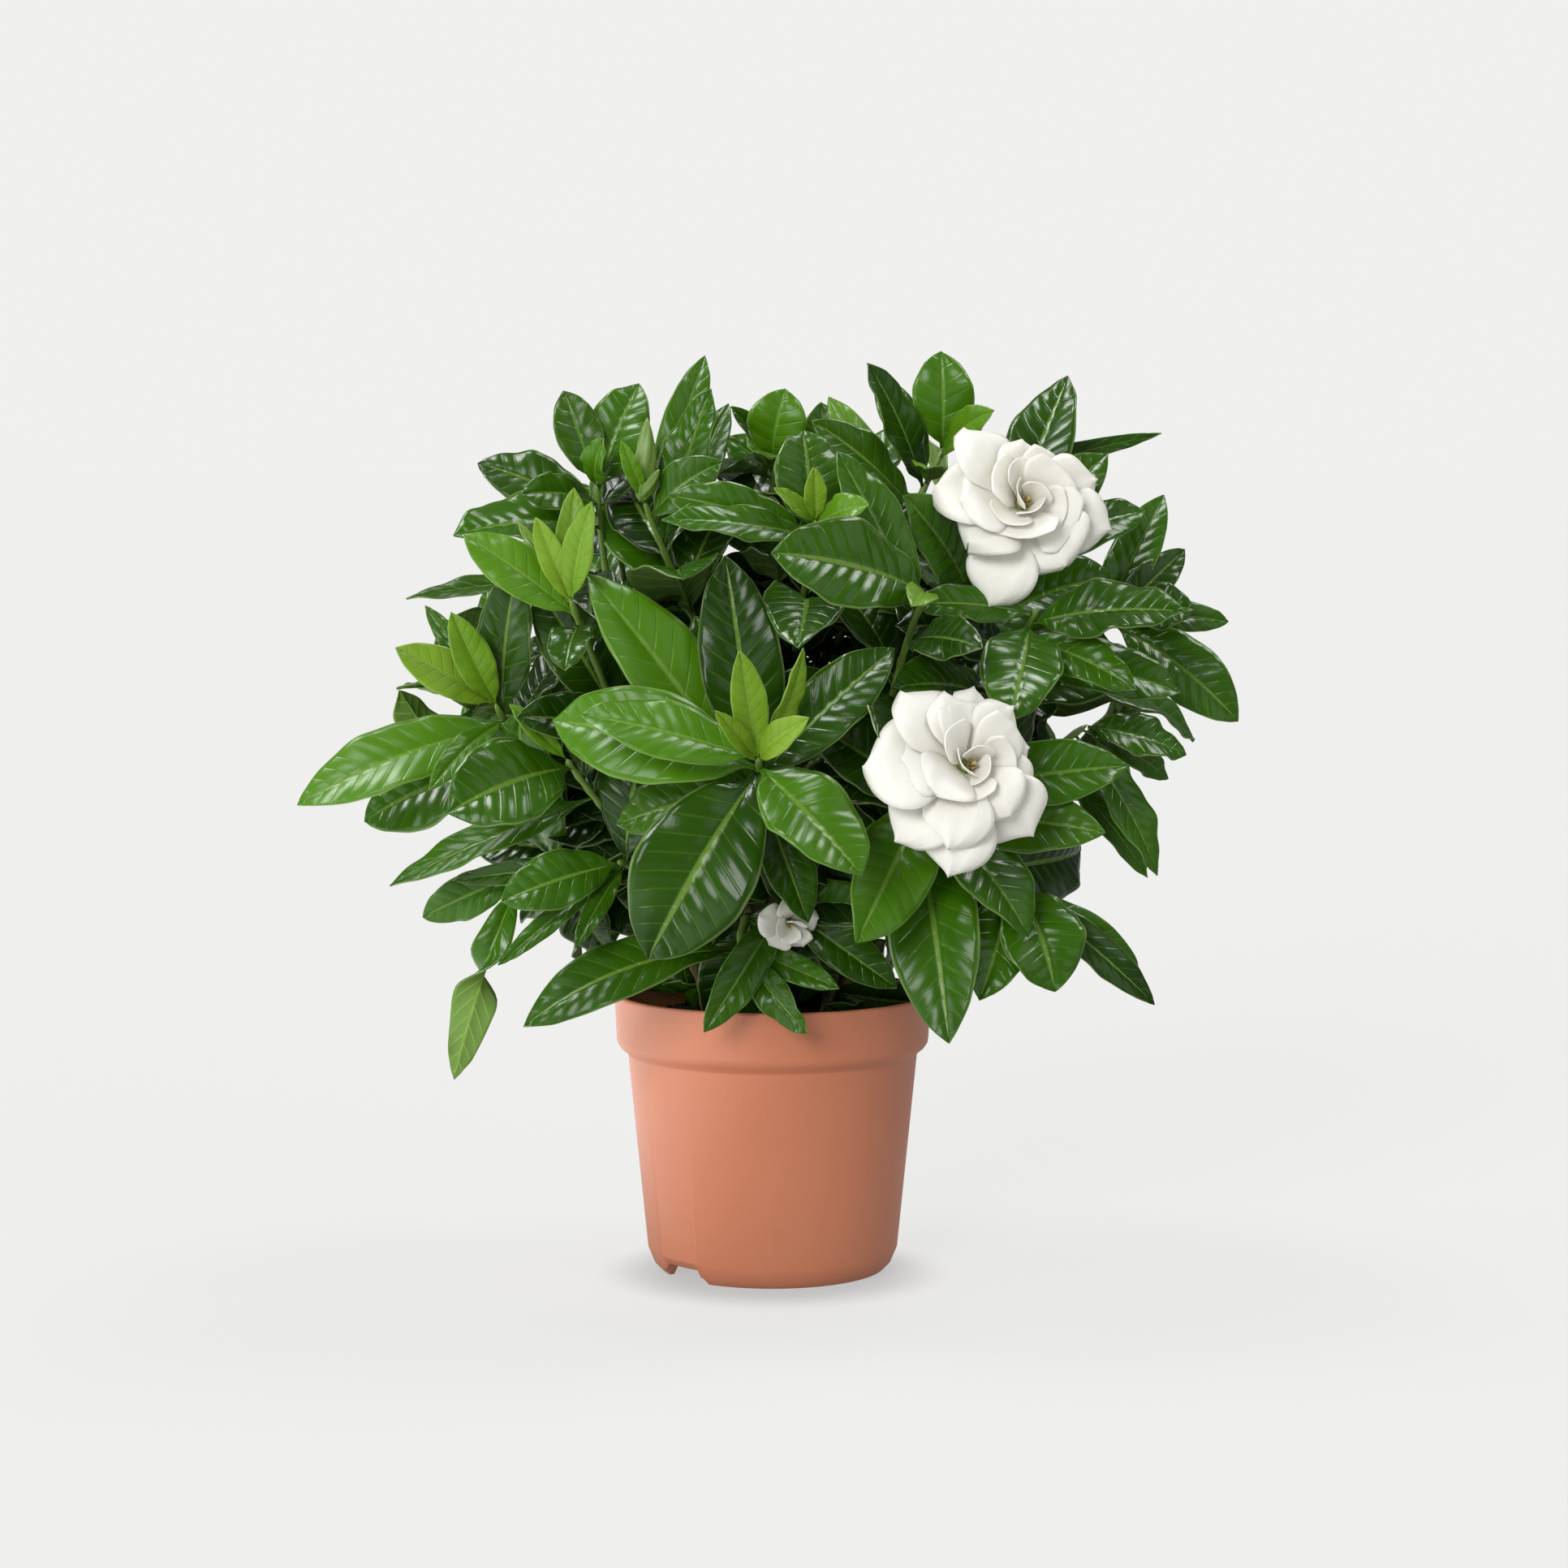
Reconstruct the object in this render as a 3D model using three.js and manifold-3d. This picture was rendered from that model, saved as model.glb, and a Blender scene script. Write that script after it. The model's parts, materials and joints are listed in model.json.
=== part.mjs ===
// A gardenia bush with double white blooms, growing in a plastic nursery pot.
// Millimetres, +Z up. The origin is on the ground at the middle of the pot, and the front is -Y.
import * as THREE from 'three';
import { mergeVertices } from 'three/addons/utils/BufferGeometryUtils.js';
import Module from 'manifold-3d';

const wasm = await Module();
wasm.setup();

// ---------------------------------------------------------------- driving dimensions

const GAP = 0.3;

const POT = {
  height: 114.7,
  rimRadius: 65.2,
  collarBottomRadius: 64.1,
  collarBottom: 94.7,
  shoulderRadius: 59.5,
  shoulder: 89.8,
  wallBottomRadius: 51.5,
  wallBottom: 9,
  footRadius: 46,
  footWall: 2,
  floorTop: 8,
  wall: 1.4,
  lip: 1.2,
  segments: 27,
};
const NOTCH = { angles: [-50, 130], length: 25, height: 6, depth: 9, slope: 5 };
const DRAIN = { count: 4, ringRadius: 30, radius: 4, sides: 6 };

const SOIL = { top: 102, crown: 2.5, ripple: 0.7, ripples: 7, rings: 2, holeSides: 6 };

const STEM = {
  radius: 3,
  buried: 16,
  neck: 2,
  knee: 14,
  sides: 5,
  steps: 3,
  branchRadius: 2,
  branchSides: 4,
  branchSteps: 2,
  highestBranch: 0.97,
  branchSpread: 0.12,
  branchLead: 0.45,
};
const SHOOT = { radius: 1.7, sides: 4, steps: 3, internode: 2.4, lastLeaf: 0.985 };

const BLADE = {
  fine: [[0, 0], [0.18, 0.56], [0.42, 0.955], [0.66, 0.957], [0.86, 0.605]],
  plain: [[0, 0], [0.24, 0.7], [0.52, 1], [0.8, 0.76]],
  coarse: [[0, 0], [0.32, 0.86], [0.7, 0.9]],
  fineLength: 76,
  plainLength: 48,
  coarseBelow: 0.55,
  rootHalf: 0.9,
  rootSunk: 0.9,
  thickness: 1,
  fold: 0.16,
  wave: 1.5,
  waves: 2.4,
  edgeLag: 2,
};
const PETAL = {
  stations: [[0, 0.05], [0.3, 0.5], [0.64, 1], [0.88, 0.84]],
  thickness: 0.9,
  rootRadius: 2.4,
  cup: 0.1,
  roll: 20,
  wave: 0.7,
  waves: 1.4,
  edgeLag: 2.2,
  steps: 24,
  shifts: [
    [0, 0], [-4, 0], [4, 0], [-4, 6], [-4, -6], [-8, 0], [8, 0], [-8, 6], [-8, -6], [-12, 0],
    [-14, 8], [-14, -8], [12, 0], [-18, 0], [-18, 8], [-18, -8], [-24, 0],
  ],
};

// The middle of the bush, which its leaves face away from.
const HEART = new THREE.Vector3(0, 10, 190);
const FACING = { axis: 0.6, outward: 0.4, up: 0.3, placed: 0.45 };
const FRONT = new THREE.Vector3(0, -0.9, 0.25);

// ---------------------------------------------------------------- the plant's layout

// Main stems: where each leaves the soil (x, y) and its head (x, y, z), which its branches grow from.
const STEMS = [
  [[1, -24], [-1, -36, 160]],
  [[22, -14], [40, -32, 168]],
  [[25, 9], [58, 8, 180]],
  [[12, 26], [30, 50, 178]],
  [[-14, 24], [-32, 48, 178]],
  [[-27, 2], [-56, 0, 172]],
  [[-19, -18], [-38, -36, 160]],
  [[0, 2], [2, 6, 215]],
];

// Shoots: name, main stem, base, bend and tip of the green stem, then its placed leaves, each as
// [place along the stem, tip x, tip y, tip z, width, arch, roll in degrees, youth from 0 to 1].
const SHOOTS = [
  ['shoot_front', 0, [-3, -52, 182], [-5, -80, 205], [-5, -126, 221], [
    [0.92, -84, -98, 233, 37, 8, 0, 0.45],
    [1.00, -72, -122, 237, 24, 5, 0, 0.45],
    [0.85, -47, -122, 144, 47, 9, 0, 0.05],
    [0.94, 34, -142, 178, 33, 6, 0, 0.4],
    [0.98, 14, -154, 238, 12, 4, 0, 0.95],
    [0.98, -12, -138, 262, 14, 3, 0, 0.8],
    [0.95, 12, -118, 262, 12, 3, 50, 0.8],
    [0.97, -21, -145, 240, 8, 2, 0, 0.9],
    [0.60, -60, -88, 192, 26, 5, 0, 0.3],
    [0.55, -18, -88, 296, 32, 5, 0, 0.1],
    [0.45, -71, -92, 289, 36, 6, 0, 0.5],
    [0.70, 47, -100, 261, 26, 5, 0, 0.15],
    [0.50, 14, -100, 155, 20, 4, 0, 0.2],
  ]],
  ['shoot_front_bloom', 1, [48, -46, 180], [62, -75, 206], [71, -106, 214], [
    [0.45, 32, -128, 151, 33, 6, 0, 0.4],
    [0.30, 68, -112, 110, 36, 8, 0, 0.2],
    [0.35, 129, -90, 189, 28, 5, 0, 0.35],
    [0.60, 139, -78, 214, 27, 5, 0, 0.1],
    [0.50, 15, -90, 231, 27, 5, 0, 0.1],
  ]],
  ['shoot_upper_bloom', 2, [66, -6, 215], [88, -30, 301], [95, -57, 311], [
    [0.80, 119, -12, 366, 28, 5, 0, 0.05],
    [0.75, 127, -25, 339, 25, 4, 0, 0.05],
    [0.55, 51, -80, 319, 30, 5, 0, 0.05],
    [0.80, 150, -16, 312, 24, 4, 0, 0.1],
  ]],
  ['shoot_right', 2, [78, -12, 205], [90, -35, 240], [104, -70, 276], [
    [0.90, 160, -80, 274, 27, 6, 0, 0.1],
    [0.95, 64, -98, 287, 16, 4, 0, 0.1],
    [0.80, 141, -85, 244, 19, 5, 0, 0.1],
    [0.70, 161, -55, 241, 24, 5, 0, 0.1],
    [0.90, 91, -105, 233, 32, 5, 0, 0.1],
  ]],
  ['shoot_crown_right', 7, [24, -2, 255], [52, -2, 300], [70, -6, 338], [
    [1.00, 68, -8, 376, 25, 4, 0, 0.35],
    [0.80, 38, -25, 371, 18, 4, 0, 0.05],
    [0.85, 43, 15, 366, 16, 3, 0, 0.2],
    [0.95, 88, -35, 352, 16, 3, 0, 0.6],
    [0.70, 16, -20, 348, 20, 4, 0, 0.3],
    [0.85, 61, -45, 329, 14, 3, 0, 0.6],
    [0.60, 23, 20, 358, 16, 3, 0, 0.6],
    [0.75, 158, 0, 343, 9, 3, 0, 0.2],
  ]],
  ['shoot_centre', 7, [8, -18, 245], [14, -50, 290], [17, -88, 310], [
    [0.90, 12, -70, 344, 28, 5, 0, 0.25],
    [1.00, 16, -98, 330, 9, 2, 0, 0.85],
    [0.95, 37, -105, 316, 14, 3, 0, 0.6],
    [1.00, 1, -98, 322, 7, 2, 0, 0.8],
    [0.85, -40, -80, 319, 20, 5, 0, 0.1],
    [0.90, -42, -97, 310, 16, 4, 0, 0.2],
  ]],
  ['shoot_centre_right', 1, [42, -42, 205], [48, -62, 255], [60, -92, 283], [
    [1.00, 0, -118, 298, 36, 6, 0, 0.05],
    [0.85, 25, -85, 336, 23, 5, 0, 0.1],
    [1.00, 53, -122, 278, 13, 3, 0, 0.7],
    [0.70, 80, -118, 262, 20, 4, 0, 0.15],
  ]],
  ['shoot_left_cluster', 6, [-48, -45, 200], [-66, -66, 245], [-78, -96, 281], [
    [1.00, -76, -90, 322, 12, 3, 0, 0.8],
    [1.00, -68, -112, 317, 13, 3, 0, 0.75],
    [0.97, -90, -102, 311, 11, 3, 0, 0.85],
    [0.90, -118, -95, 304, 20, 4, 0, 0.55],
    [0.90, -37, -100, 316, 23, 5, 0, 0.2],
    [0.95, -98, -86, 309, 6, 2, 0, 0.8],
    [0.85, -76, -112, 253, 18, 4, 0, 0.15],
    [0.35, -95, -80, 280, 26, 5, 0, 0.1],
    [0.30, -99, -90, 238, 22, 5, 0, 0.1],
  ]],
  ['shoot_upper_left', 5, [-58, -5, 225], [-68, -8, 280], [-71, -20, 325], [
    [1.00, -84, -15, 360, 19, 3, 0, 0.3],
    [0.95, -54, -10, 363, 25, 4, 0, 0.3],
    [1.00, -67, -36, 341, 14, 3, 0, 0.4],
    [0.80, -130, -40, 304, 30, 6, 0, 0.1],
    [0.90, -99, -50, 319, 18, 3, 0, 0.2],
    [0.85, -119, -10, 331, 25, 4, 0, 0.2],
    [0.60, -147, -25, 277, 13, 3, 0, 0.3],
  ]],
  ['shoot_bud', 7, [-18, -12, 240], [-40, -30, 285], [-51, -50, 318], [
    [1.00, -59, -60, 340, 7, 2, 0, 0.6],
    [0.90, -19, -70, 332, 19, 4, 0, 0.15],
    [0.85, -27, -20, 374, 17, 3, 0, 0.3],
    [0.75, -29, -37, 362, 22, 4, 0, 0.05],
    [0.70, -18, 10, 355, 16, 3, 0, 0.3],
  ]],
  ['shoot_crown', 7, [4, 4, 260], [2, 4, 300], [-1, 0, 334], [
    [1.00, 5, -5, 361, 24, 4, 0, 0.5],
    [0.95, -2, 22, 356, 18, 3, 0, 0.3],
    [0.95, -8, -40, 336, 18, 3, 0, 0.3],
  ]],
  ['shoot_left', 5, [-76, -18, 195], [-98, -40, 212], [-109, -65, 238], [
    [1.00, -146, -80, 260, 18, 4, 0, 0.85],
    [1.00, -124, -85, 274, 15, 3, 0, 0.7],
    [0.95, -137, -50, 275, 10, 3, 0, 0.2],
    [0.95, -99, -75, 290, 25, 5, 0, 0.2],
    [0.80, -186, -70, 198, 28, 8, 0, 0.5],
    [0.85, -132, -95, 206, 12, 4, 0, 0.4],
  ]],
  ['shoot_left_low', 6, [-58, -52, 185], [-70, -66, 200], [-80, -82, 217], [
    [0.90, -124, -105, 198, 37, 6, 0, 0.1],
    [1.00, -96, -92, 241, 8, 2, 0, 0.6],
    [0.50, -150, -70, 166, 16, 4, 0, 0.2],
  ]],
  ['shoot_lower_left', 6, [-50, -46, 168], [-56, -60, 174], [-60, -78, 176], [
    [0.90, -126, -60, 167, 10, 4, 0, 0.2],
    [0.95, -105, -88, 162, 23, 5, 0, 0.2],
    [0.90, -107, -80, 136, 9, 3, 0, 0.2],
    [0.80, -76, -97, 145, 9, 3, 0, 0.1],
  ]],
  ['shoot_left_droop', 5, [-78, -10, 172], [-92, -35, 174], [-100, -62, 168], [
    [1.00, -125, -75, 90, 18, 7, 0, 0.2],
    [0.80, -140, -40, 150, 18, 4, 0, 0.2],
  ]],
  ['shoot_right_far', 2, [92, 6, 215], [118, 0, 250], [142, -22, 272], [
    [1.00, 169, -30, 273, 20, 3, 0, 0.1],
    [0.95, 185, -10, 267, 13, 3, 0, 0.1],
    [0.90, 187, -30, 228, 26, 6, 0, 0.1],
    [0.85, 168, 0, 296, 16, 3, 0, 0.2],
    [0.75, 160, 8, 318, 20, 3, 0, 0.2],
  ]],
  ['shoot_right_low', 1, [68, -42, 186], [100, -50, 210], [126, -44, 228], [
    [1.00, 165, -40, 215, 20, 4, 0, 0.1],
    [0.90, 153, -50, 168, 20, 6, 0, 0.1],
    [0.70, 151, -30, 165, 13, 4, 0, 0.1],
    [0.95, 160, -20, 204, 14, 3, 0, 0.1],
  ]],
  ['shoot_lower_right', 1, [64, -50, 172], [82, -64, 172], [100, -72, 164], [
    [1.00, 146, -50, 129, 15, 4, 0, 0.2],
    [0.95, 144, -62, 112, 15, 4, 0, 0.1],
    [0.80, 80, -100, 125, 25, 5, 0, 0.05],
    [0.90, 110, -90, 127, 34, 6, 0, 0.05],
  ]],
  ['shoot_low_bloom', 0, [4, -50, 160], [5, -60, 158], [6, -68, 154], [
    [0.60, -31, -92, 120, 17, 4, 0, 0.1],
    [0.70, 38, -88, 122, 18, 4, 0, 0.1],
    [0.50, 36, -84, 152, 20, 4, 0, 0.1],
  ]],
  ['shoot_bottom', 0, [-10, -46, 152], [-14, -54, 144], [-12, -64, 136], [
    [0.95, 14, -92, 122, 15, 3, 0, 0.1],
    [0.80, -97, -82, 112, 25, 13, 42, 0.15],
    [0.70, 22, -85, 124, 12, 3, 0, 0.2],
  ]],
  ['shoot_back_right', 3, [52, 58, 210], [70, 72, 250], [82, 80, 288], []],
  ['shoot_back', 3, [24, 62, 215], [20, 80, 255], [12, 88, 286], []],
  ['shoot_back_left', 4, [-46, 60, 210], [-62, 74, 248], [-74, 80, 284], []],
  ['shoot_back_far_right', 3, [66, 58, 192], [96, 68, 208], [118, 70, 230], []],
  ['shoot_back_far_left', 4, [-62, 56, 190], [-92, 68, 206], [-114, 68, 230], []],
  ['shoot_back_middle', 4, [-8, 60, 196], [-14, 72, 206], [-20, 84, 216], []],
  ['shoot_back_low_right', 3, [42, 60, 168], [56, 72, 162], [70, 84, 152], []],
  ['shoot_back_low_left', 4, [-40, 60, 164], [-54, 72, 158], [-66, 84, 148], []],
  ['shoot_side_right', 2, [82, 22, 180], [104, 32, 186], [122, 40, 190], []],
  ['shoot_side_left', 5, [-80, 16, 180], [-102, 28, 186], [-118, 38, 190], []],
  ['shoot_top_back', 7, [10, 28, 245], [18, 42, 282], [24, 50, 312], [
    [1.00, 20, 44, 356, 24, 4, 0, 0.3],
    [0.95, 62, 44, 344, 26, 5, 0, 0.1],
    [0.90, -14, 42, 347, 26, 5, 0, 0.1],
    [0.80, -17, 16, 354, 22, 4, 0, 0.2],
    [0.70, -2, 24, 322, 28, 6, 0, 0.05],
    [0.60, 60, 30, 312, 28, 6, 0, 0.05],
    [0.50, 30, 100, 300, 32, 6, 0, 0.1],
  ]],
  ['shoot_top_left', 4, [-44, 40, 220], [-58, 42, 264], [-66, 40, 300], [
    [1.00, -62, 34, 345, 24, 4, 0, 0.3],
    [0.95, -104, 34, 326, 26, 5, 0, 0.1],
    [0.90, -32, 30, 340, 26, 5, 0, 0.1],
    [0.70, -22, 14, 314, 28, 6, 0, 0.05],
    [0.60, -122, 30, 280, 30, 6, 0, 0.1],
    [0.50, -84, 100, 290, 32, 6, 0, 0.1],
  ]],
];

// Whorls added by rule along every shoot: place, leaves, length, width, tilt from the stem, youth. The
// bush is bare below its skirt, which rises outwards from a height at the middle.
const SKIRT = [95, 0.5];
const WHORLS = [
  [0.4, 2, 70, 34, 76, 0.05],
];
const BACK_WHORLS = [
  [0.12, 2, 74, 36, 92, 0.05],
  [0.50, 2, 80, 38, 76, 0.1],
  [0.80, 2, 76, 35, 64, 0.15],
  [0.96, 2, 58, 26, 40, 0.3],
];
const END_TIPS = [1, 1, 26, 9, 14, 0.85];
// How far the leaves of a whorl differ: steps along the shoot, turns in radians, tilts and rolls in
// degrees, the least size and its range, the least arch and its range, and the turn between whorls.
const DIFFER = {
  step: 0.05,
  turn: 0.5,
  tilt: 16,
  roll: 20,
  size: [0.85, 0.3],
  arch: [0.06, 0.1],
  next: 0.3,
};

// Blooms: name, shoot, size and petals from the outside in, each as
// [turn, length, width, rise at its root and at its tip in degrees, height up the tube].
const BLOOMS = [
  ['bloom_front', 'shoot_front_bloom', 1, [
    [130, 40, 27, 46, -20, 5],
    [178, 43, 34, 44, -24, 5],
    [222, 41, 26, 42, -28, 5],
    [256, 44, 26, 40, -30, 5],
    [312, 38, 27, 42, -26, 5],
    [340, 28, 22, 46, -16, 5.5],
    [14, 26, 24, 50, -8, 6],
    [48, 31, 22, 48, -14, 5.5],
    [78, 32, 20, 50, -12, 5.5],
    [106, 31, 22, 50, -8, 6.5],
    [248, 37, 24, 54, -18, 8],
    [165, 31, 28, 60, 0, 8.5],
    [300, 27, 24, 58, 5, 8.5],
    [352, 24, 22, 62, 12, 9],
    [40, 24, 22, 64, 20, 9],
    [98, 24, 24, 66, 26, 9],
    [205, 25, 24, 62, 14, 9],
    [130, 19, 19, 74, 46, 10],
    [250, 18, 20, 74, 48, 10],
    [10, 18, 19, 74, 46, 10.5],
    [70, 13, 13, 76, 68, 12],
    [190, 13, 13, 76, 68, 12],
    [310, 13, 13, 76, 68, 12],
  ]],
  ['bloom_upper', 'shoot_upper_bloom', 1, [
    [248, 41, 25, 26, -28, 4],
    [166, 35, 29, 30, -6, 5],
    [126, 38, 26, 36, 0, 5.5],
    [86, 26, 24, 50, 16, 6],
    [50, 24, 22, 48, 16, 6],
    [16, 32, 25, 40, 4, 5.5],
    [342, 36, 23, 34, -2, 5],
    [292, 29, 32, 40, 4, 6],
    [212, 30, 27, 44, 6, 6],
    [188, 27, 27, 56, 26, 8],
    [106, 24, 25, 62, 34, 8.5],
    [146, 22, 23, 66, 40, 9],
    [34, 22, 24, 64, 36, 9],
    [318, 22, 27, 62, 30, 9],
    [256, 21, 26, 66, 34, 9],
    [100, 18, 18, 74, 50, 10.5],
    [220, 17, 18, 74, 50, 10.5],
    [340, 17, 18, 74, 50, 10.5],
    [40, 13, 13, 76, 68, 12],
    [160, 13, 13, 76, 68, 12],
    [280, 13, 13, 76, 68, 12],
  ]],
  ['bloom_low', 'shoot_low_bloom', 0.42, [
    [15, 30, 28, 54, -10, 6],
    [85, 30, 28, 54, -10, 6],
    [160, 32, 30, 52, -14, 6],
    [230, 30, 28, 54, -10, 6],
    [300, 30, 28, 54, -10, 6],
    [45, 21, 21, 72, 40, 9],
    [165, 21, 21, 72, 40, 9],
    [285, 21, 21, 72, 40, 9],
  ]],
];
const TUBE = { radius: 3.4, length: 12, sides: 6 };
const CENTRE = { anthers: 4, length: 7, radius: 0.7, styleRadius: 0.9, spread: 1.3, style: 9, sides: 3 };

const BUD = { outline: [[0, 0], [0.5, 0.02], [1, 0.45], [0.6, 0.78], [0, 1]], sides: 6, sunk: 2.5 };

// Pointed flower buds: shoot, length, radius, lean.
const BUDS = [
  ['shoot_bud', 34, 4.4, [0.06, 0, 1]],
  ['shoot_bud', 18, 2.6, [0.5, -0.6, 0.8]],
  ['shoot_back', 26, 3.6, [0, 0.2, 1]],
];

// Bends tried in turn until a leaf is clear: [raise, swing] in degrees.
const BENDS = [
  [0, 0], [4, 0], [-4, 0], [0, 5], [0, -5], [6, 6], [6, -6], [-6, 6], [-6, -6], [9, 0], [-9, 0], [0, 10],
  [0, -10], [12, 9], [12, -9], [-12, 9], [-12, -9], [16, 0], [-16, 0], [0, 17], [0, -17], [20, 14],
  [20, -14], [-20, 14], [-20, -14], [26, 0], [-26, 0], [0, 26], [0, -26],
];

// ---------------------------------------------------------------- solids

function toSolid(geometry) {
  geometry.deleteAttribute('normal');
  geometry.deleteAttribute('uv');
  const merged = mergeVertices(geometry, 1e-4);
  return new wasm.Manifold(new wasm.Mesh({
    numProp: 3,
    vertProperties: new Float32Array(merged.attributes.position.array),
    triVerts: new Uint32Array(merged.index.array),
  }));
}

function toGeometry(solid) {
  const mesh = solid.getMesh();
  const geometry = new THREE.BufferGeometry();
  geometry.setAttribute('position', new THREE.BufferAttribute(mesh.vertProperties, 3));
  geometry.setIndex(new THREE.BufferAttribute(mesh.triVerts, 1));
  return geometry;
}

function join(solids) {
  return solids.reduce((whole, solid) => whole.add(solid));
}

function vector(list) {
  return new THREE.Vector3(...list);
}

function polygon(radius, sides) {
  const shape = new THREE.Shape();
  for (let i = 0; i < sides; i += 1) {
    const angle = (2 * Math.PI * i) / sides;
    const x = radius * Math.cos(angle);
    const y = radius * Math.sin(angle);
    if (i === 0) shape.moveTo(x, y);
    else shape.lineTo(x, y);
  }
  shape.closePath();
  return shape;
}

function tube(curve, radius, sides, steps) {
  const settings = { steps, bevelEnabled: false, extrudePath: curve };
  return toSolid(new THREE.ExtrudeGeometry(polygon(radius, sides), settings));
}

function lathe(profile, segments) {
  const geometry = new THREE.LatheGeometry(profile.map(([r, z]) => new THREE.Vector2(r, z)), segments);
  geometry.rotateX(Math.PI / 2);
  return geometry;
}

// ---------------------------------------------------------------- pot and soil

function potSolid() {
  const { height, rimRadius, wall, lip, segments } = POT;
  const inside = (radius) => radius - wall;
  const body = toSolid(lathe([
    [0, POT.floorTop - wall],
    [POT.footRadius - POT.footWall - 1, POT.floorTop - wall],
    [POT.footRadius - POT.footWall, 0],
    [POT.footRadius, 0],
    [POT.footRadius + 3, 3],
    [POT.wallBottomRadius, POT.wallBottom],
    [POT.shoulderRadius, POT.shoulder],
    [POT.collarBottomRadius, POT.collarBottom],
    [rimRadius, height - lip],
    [rimRadius - lip - wall / 2, height],
    [inside(rimRadius) - 0.6, height - 2 * lip],
    [inside(POT.collarBottomRadius) - 0.6, POT.collarBottom + 1],
    [inside(POT.shoulderRadius), POT.shoulder - 1],
    [inside(POT.wallBottomRadius), POT.floorTop + 2],
    [inside(POT.wallBottomRadius) - 2, POT.floorTop],
    [0, POT.floorTop],
  ], segments));
  const cuts = NOTCH.angles.map((angle) => notchSolid(angle));
  for (let i = 0; i < DRAIN.count; i += 1) {
    const turn = (2 * Math.PI * (i + 0.5)) / DRAIN.count;
    const hole = new THREE.CylinderGeometry(DRAIN.radius, DRAIN.radius, 4 * wall, DRAIN.sides);
    hole.rotateX(Math.PI / 2);
    hole.translate(DRAIN.ringRadius * Math.cos(turn), DRAIN.ringRadius * Math.sin(turn), POT.floorTop);
    cuts.push(toSolid(hole));
  }
  return cuts.reduce((pot, cut) => pot.subtract(cut), body);
}

// A notch in the foot ring, centred at an angle from the front (-Y) towards +X, with sloped ends.
function notchSolid(angle) {
  const half = NOTCH.length / 2;
  const shape = new THREE.Shape();
  shape.moveTo(-half, -1);
  shape.lineTo(half, -1);
  shape.lineTo(half - NOTCH.slope / 2, NOTCH.height);
  shape.lineTo(-half + NOTCH.slope, NOTCH.height);
  shape.closePath();
  const block = new THREE.ExtrudeGeometry(shape, { depth: NOTCH.depth, bevelEnabled: false });
  block.rotateX(Math.PI / 2);
  block.translate(0, -POT.footRadius + NOTCH.depth - 5, 0);
  block.rotateZ(THREE.MathUtils.degToRad(angle));
  return toSolid(block);
}

function wallInside(z) {
  const along = (z - POT.floorTop - 2) / (POT.shoulder - 1 - POT.floorTop - 2);
  const span = POT.shoulderRadius - POT.wallBottomRadius;
  return POT.wallBottomRadius - POT.wall + span * Math.min(1, along) - GAP;
}

// Soil fills the pot to below its rim. Its top is crowned and rippled.
function soilSolid() {
  const profile = [[0, POT.floorTop + GAP], [POT.wallBottomRadius - POT.wall - 2 - GAP, POT.floorTop + GAP]];
  profile.push([wallInside(POT.floorTop + 2), POT.floorTop + 2]);
  profile.push([wallInside(POT.shoulder), POT.shoulder - 1]);
  const edge = POT.collarBottomRadius - POT.wall - 0.6 - 2 * GAP;
  profile.push([edge, POT.collarBottom + 1.5]);
  for (let i = 0; i < SOIL.rings; i += 1) {
    const across = 1 - i / SOIL.rings;
    profile.push([edge * across, SOIL.top + SOIL.crown * (1 - across ** 2)]);
  }
  profile.push([0, SOIL.top + SOIL.crown]);
  const geometry = lathe(profile, POT.segments);
  const place = geometry.attributes.position;
  for (let i = 0; i < place.count; i += 1) {
    const radius = Math.hypot(place.getX(i), place.getY(i));
    const angle = Math.atan2(place.getY(i), place.getX(i));
    const ripple = Math.sin(SOIL.ripples * angle + radius / 5) * Math.min(1, radius / 20);
    if (place.getZ(i) > SOIL.top - 0.1) place.setZ(i, place.getZ(i) + SOIL.ripple * ripple);
  }
  return STEMS.reduce((soil, [[x, y]]) => {
    const depth = STEM.buried + SOIL.crown + 6;
    const radius = (STEM.radius + GAP) / Math.cos(Math.PI / SOIL.holeSides);
    const hole = new THREE.CylinderGeometry(radius, radius, depth, SOIL.holeSides);
    hole.rotateX(Math.PI / 2);
    hole.translate(x, y, SOIL.top - STEM.buried - GAP + depth / 2);
    return soil.subtract(toSolid(hole));
  }, toSolid(geometry));
}

// ---------------------------------------------------------------- stems and shoots

function shootCurve([, , base, bend, tip]) {
  return new THREE.QuadraticBezierCurve3(vector(base), vector(bend), vector(tip));
}

// A trunk leans only above the soil, from its neck up.
function trunkCurve([[x, y], head]) {
  const neck = new THREE.Vector3(x, y, SOIL.top + SOIL.crown + STEM.neck);
  const knee = neck.clone().setZ(neck.z + STEM.knee);
  const end = vector(head);
  return new THREE.CubicBezierCurve3(neck, knee, knee.clone().lerp(end, 0.5), end);
}

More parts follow.
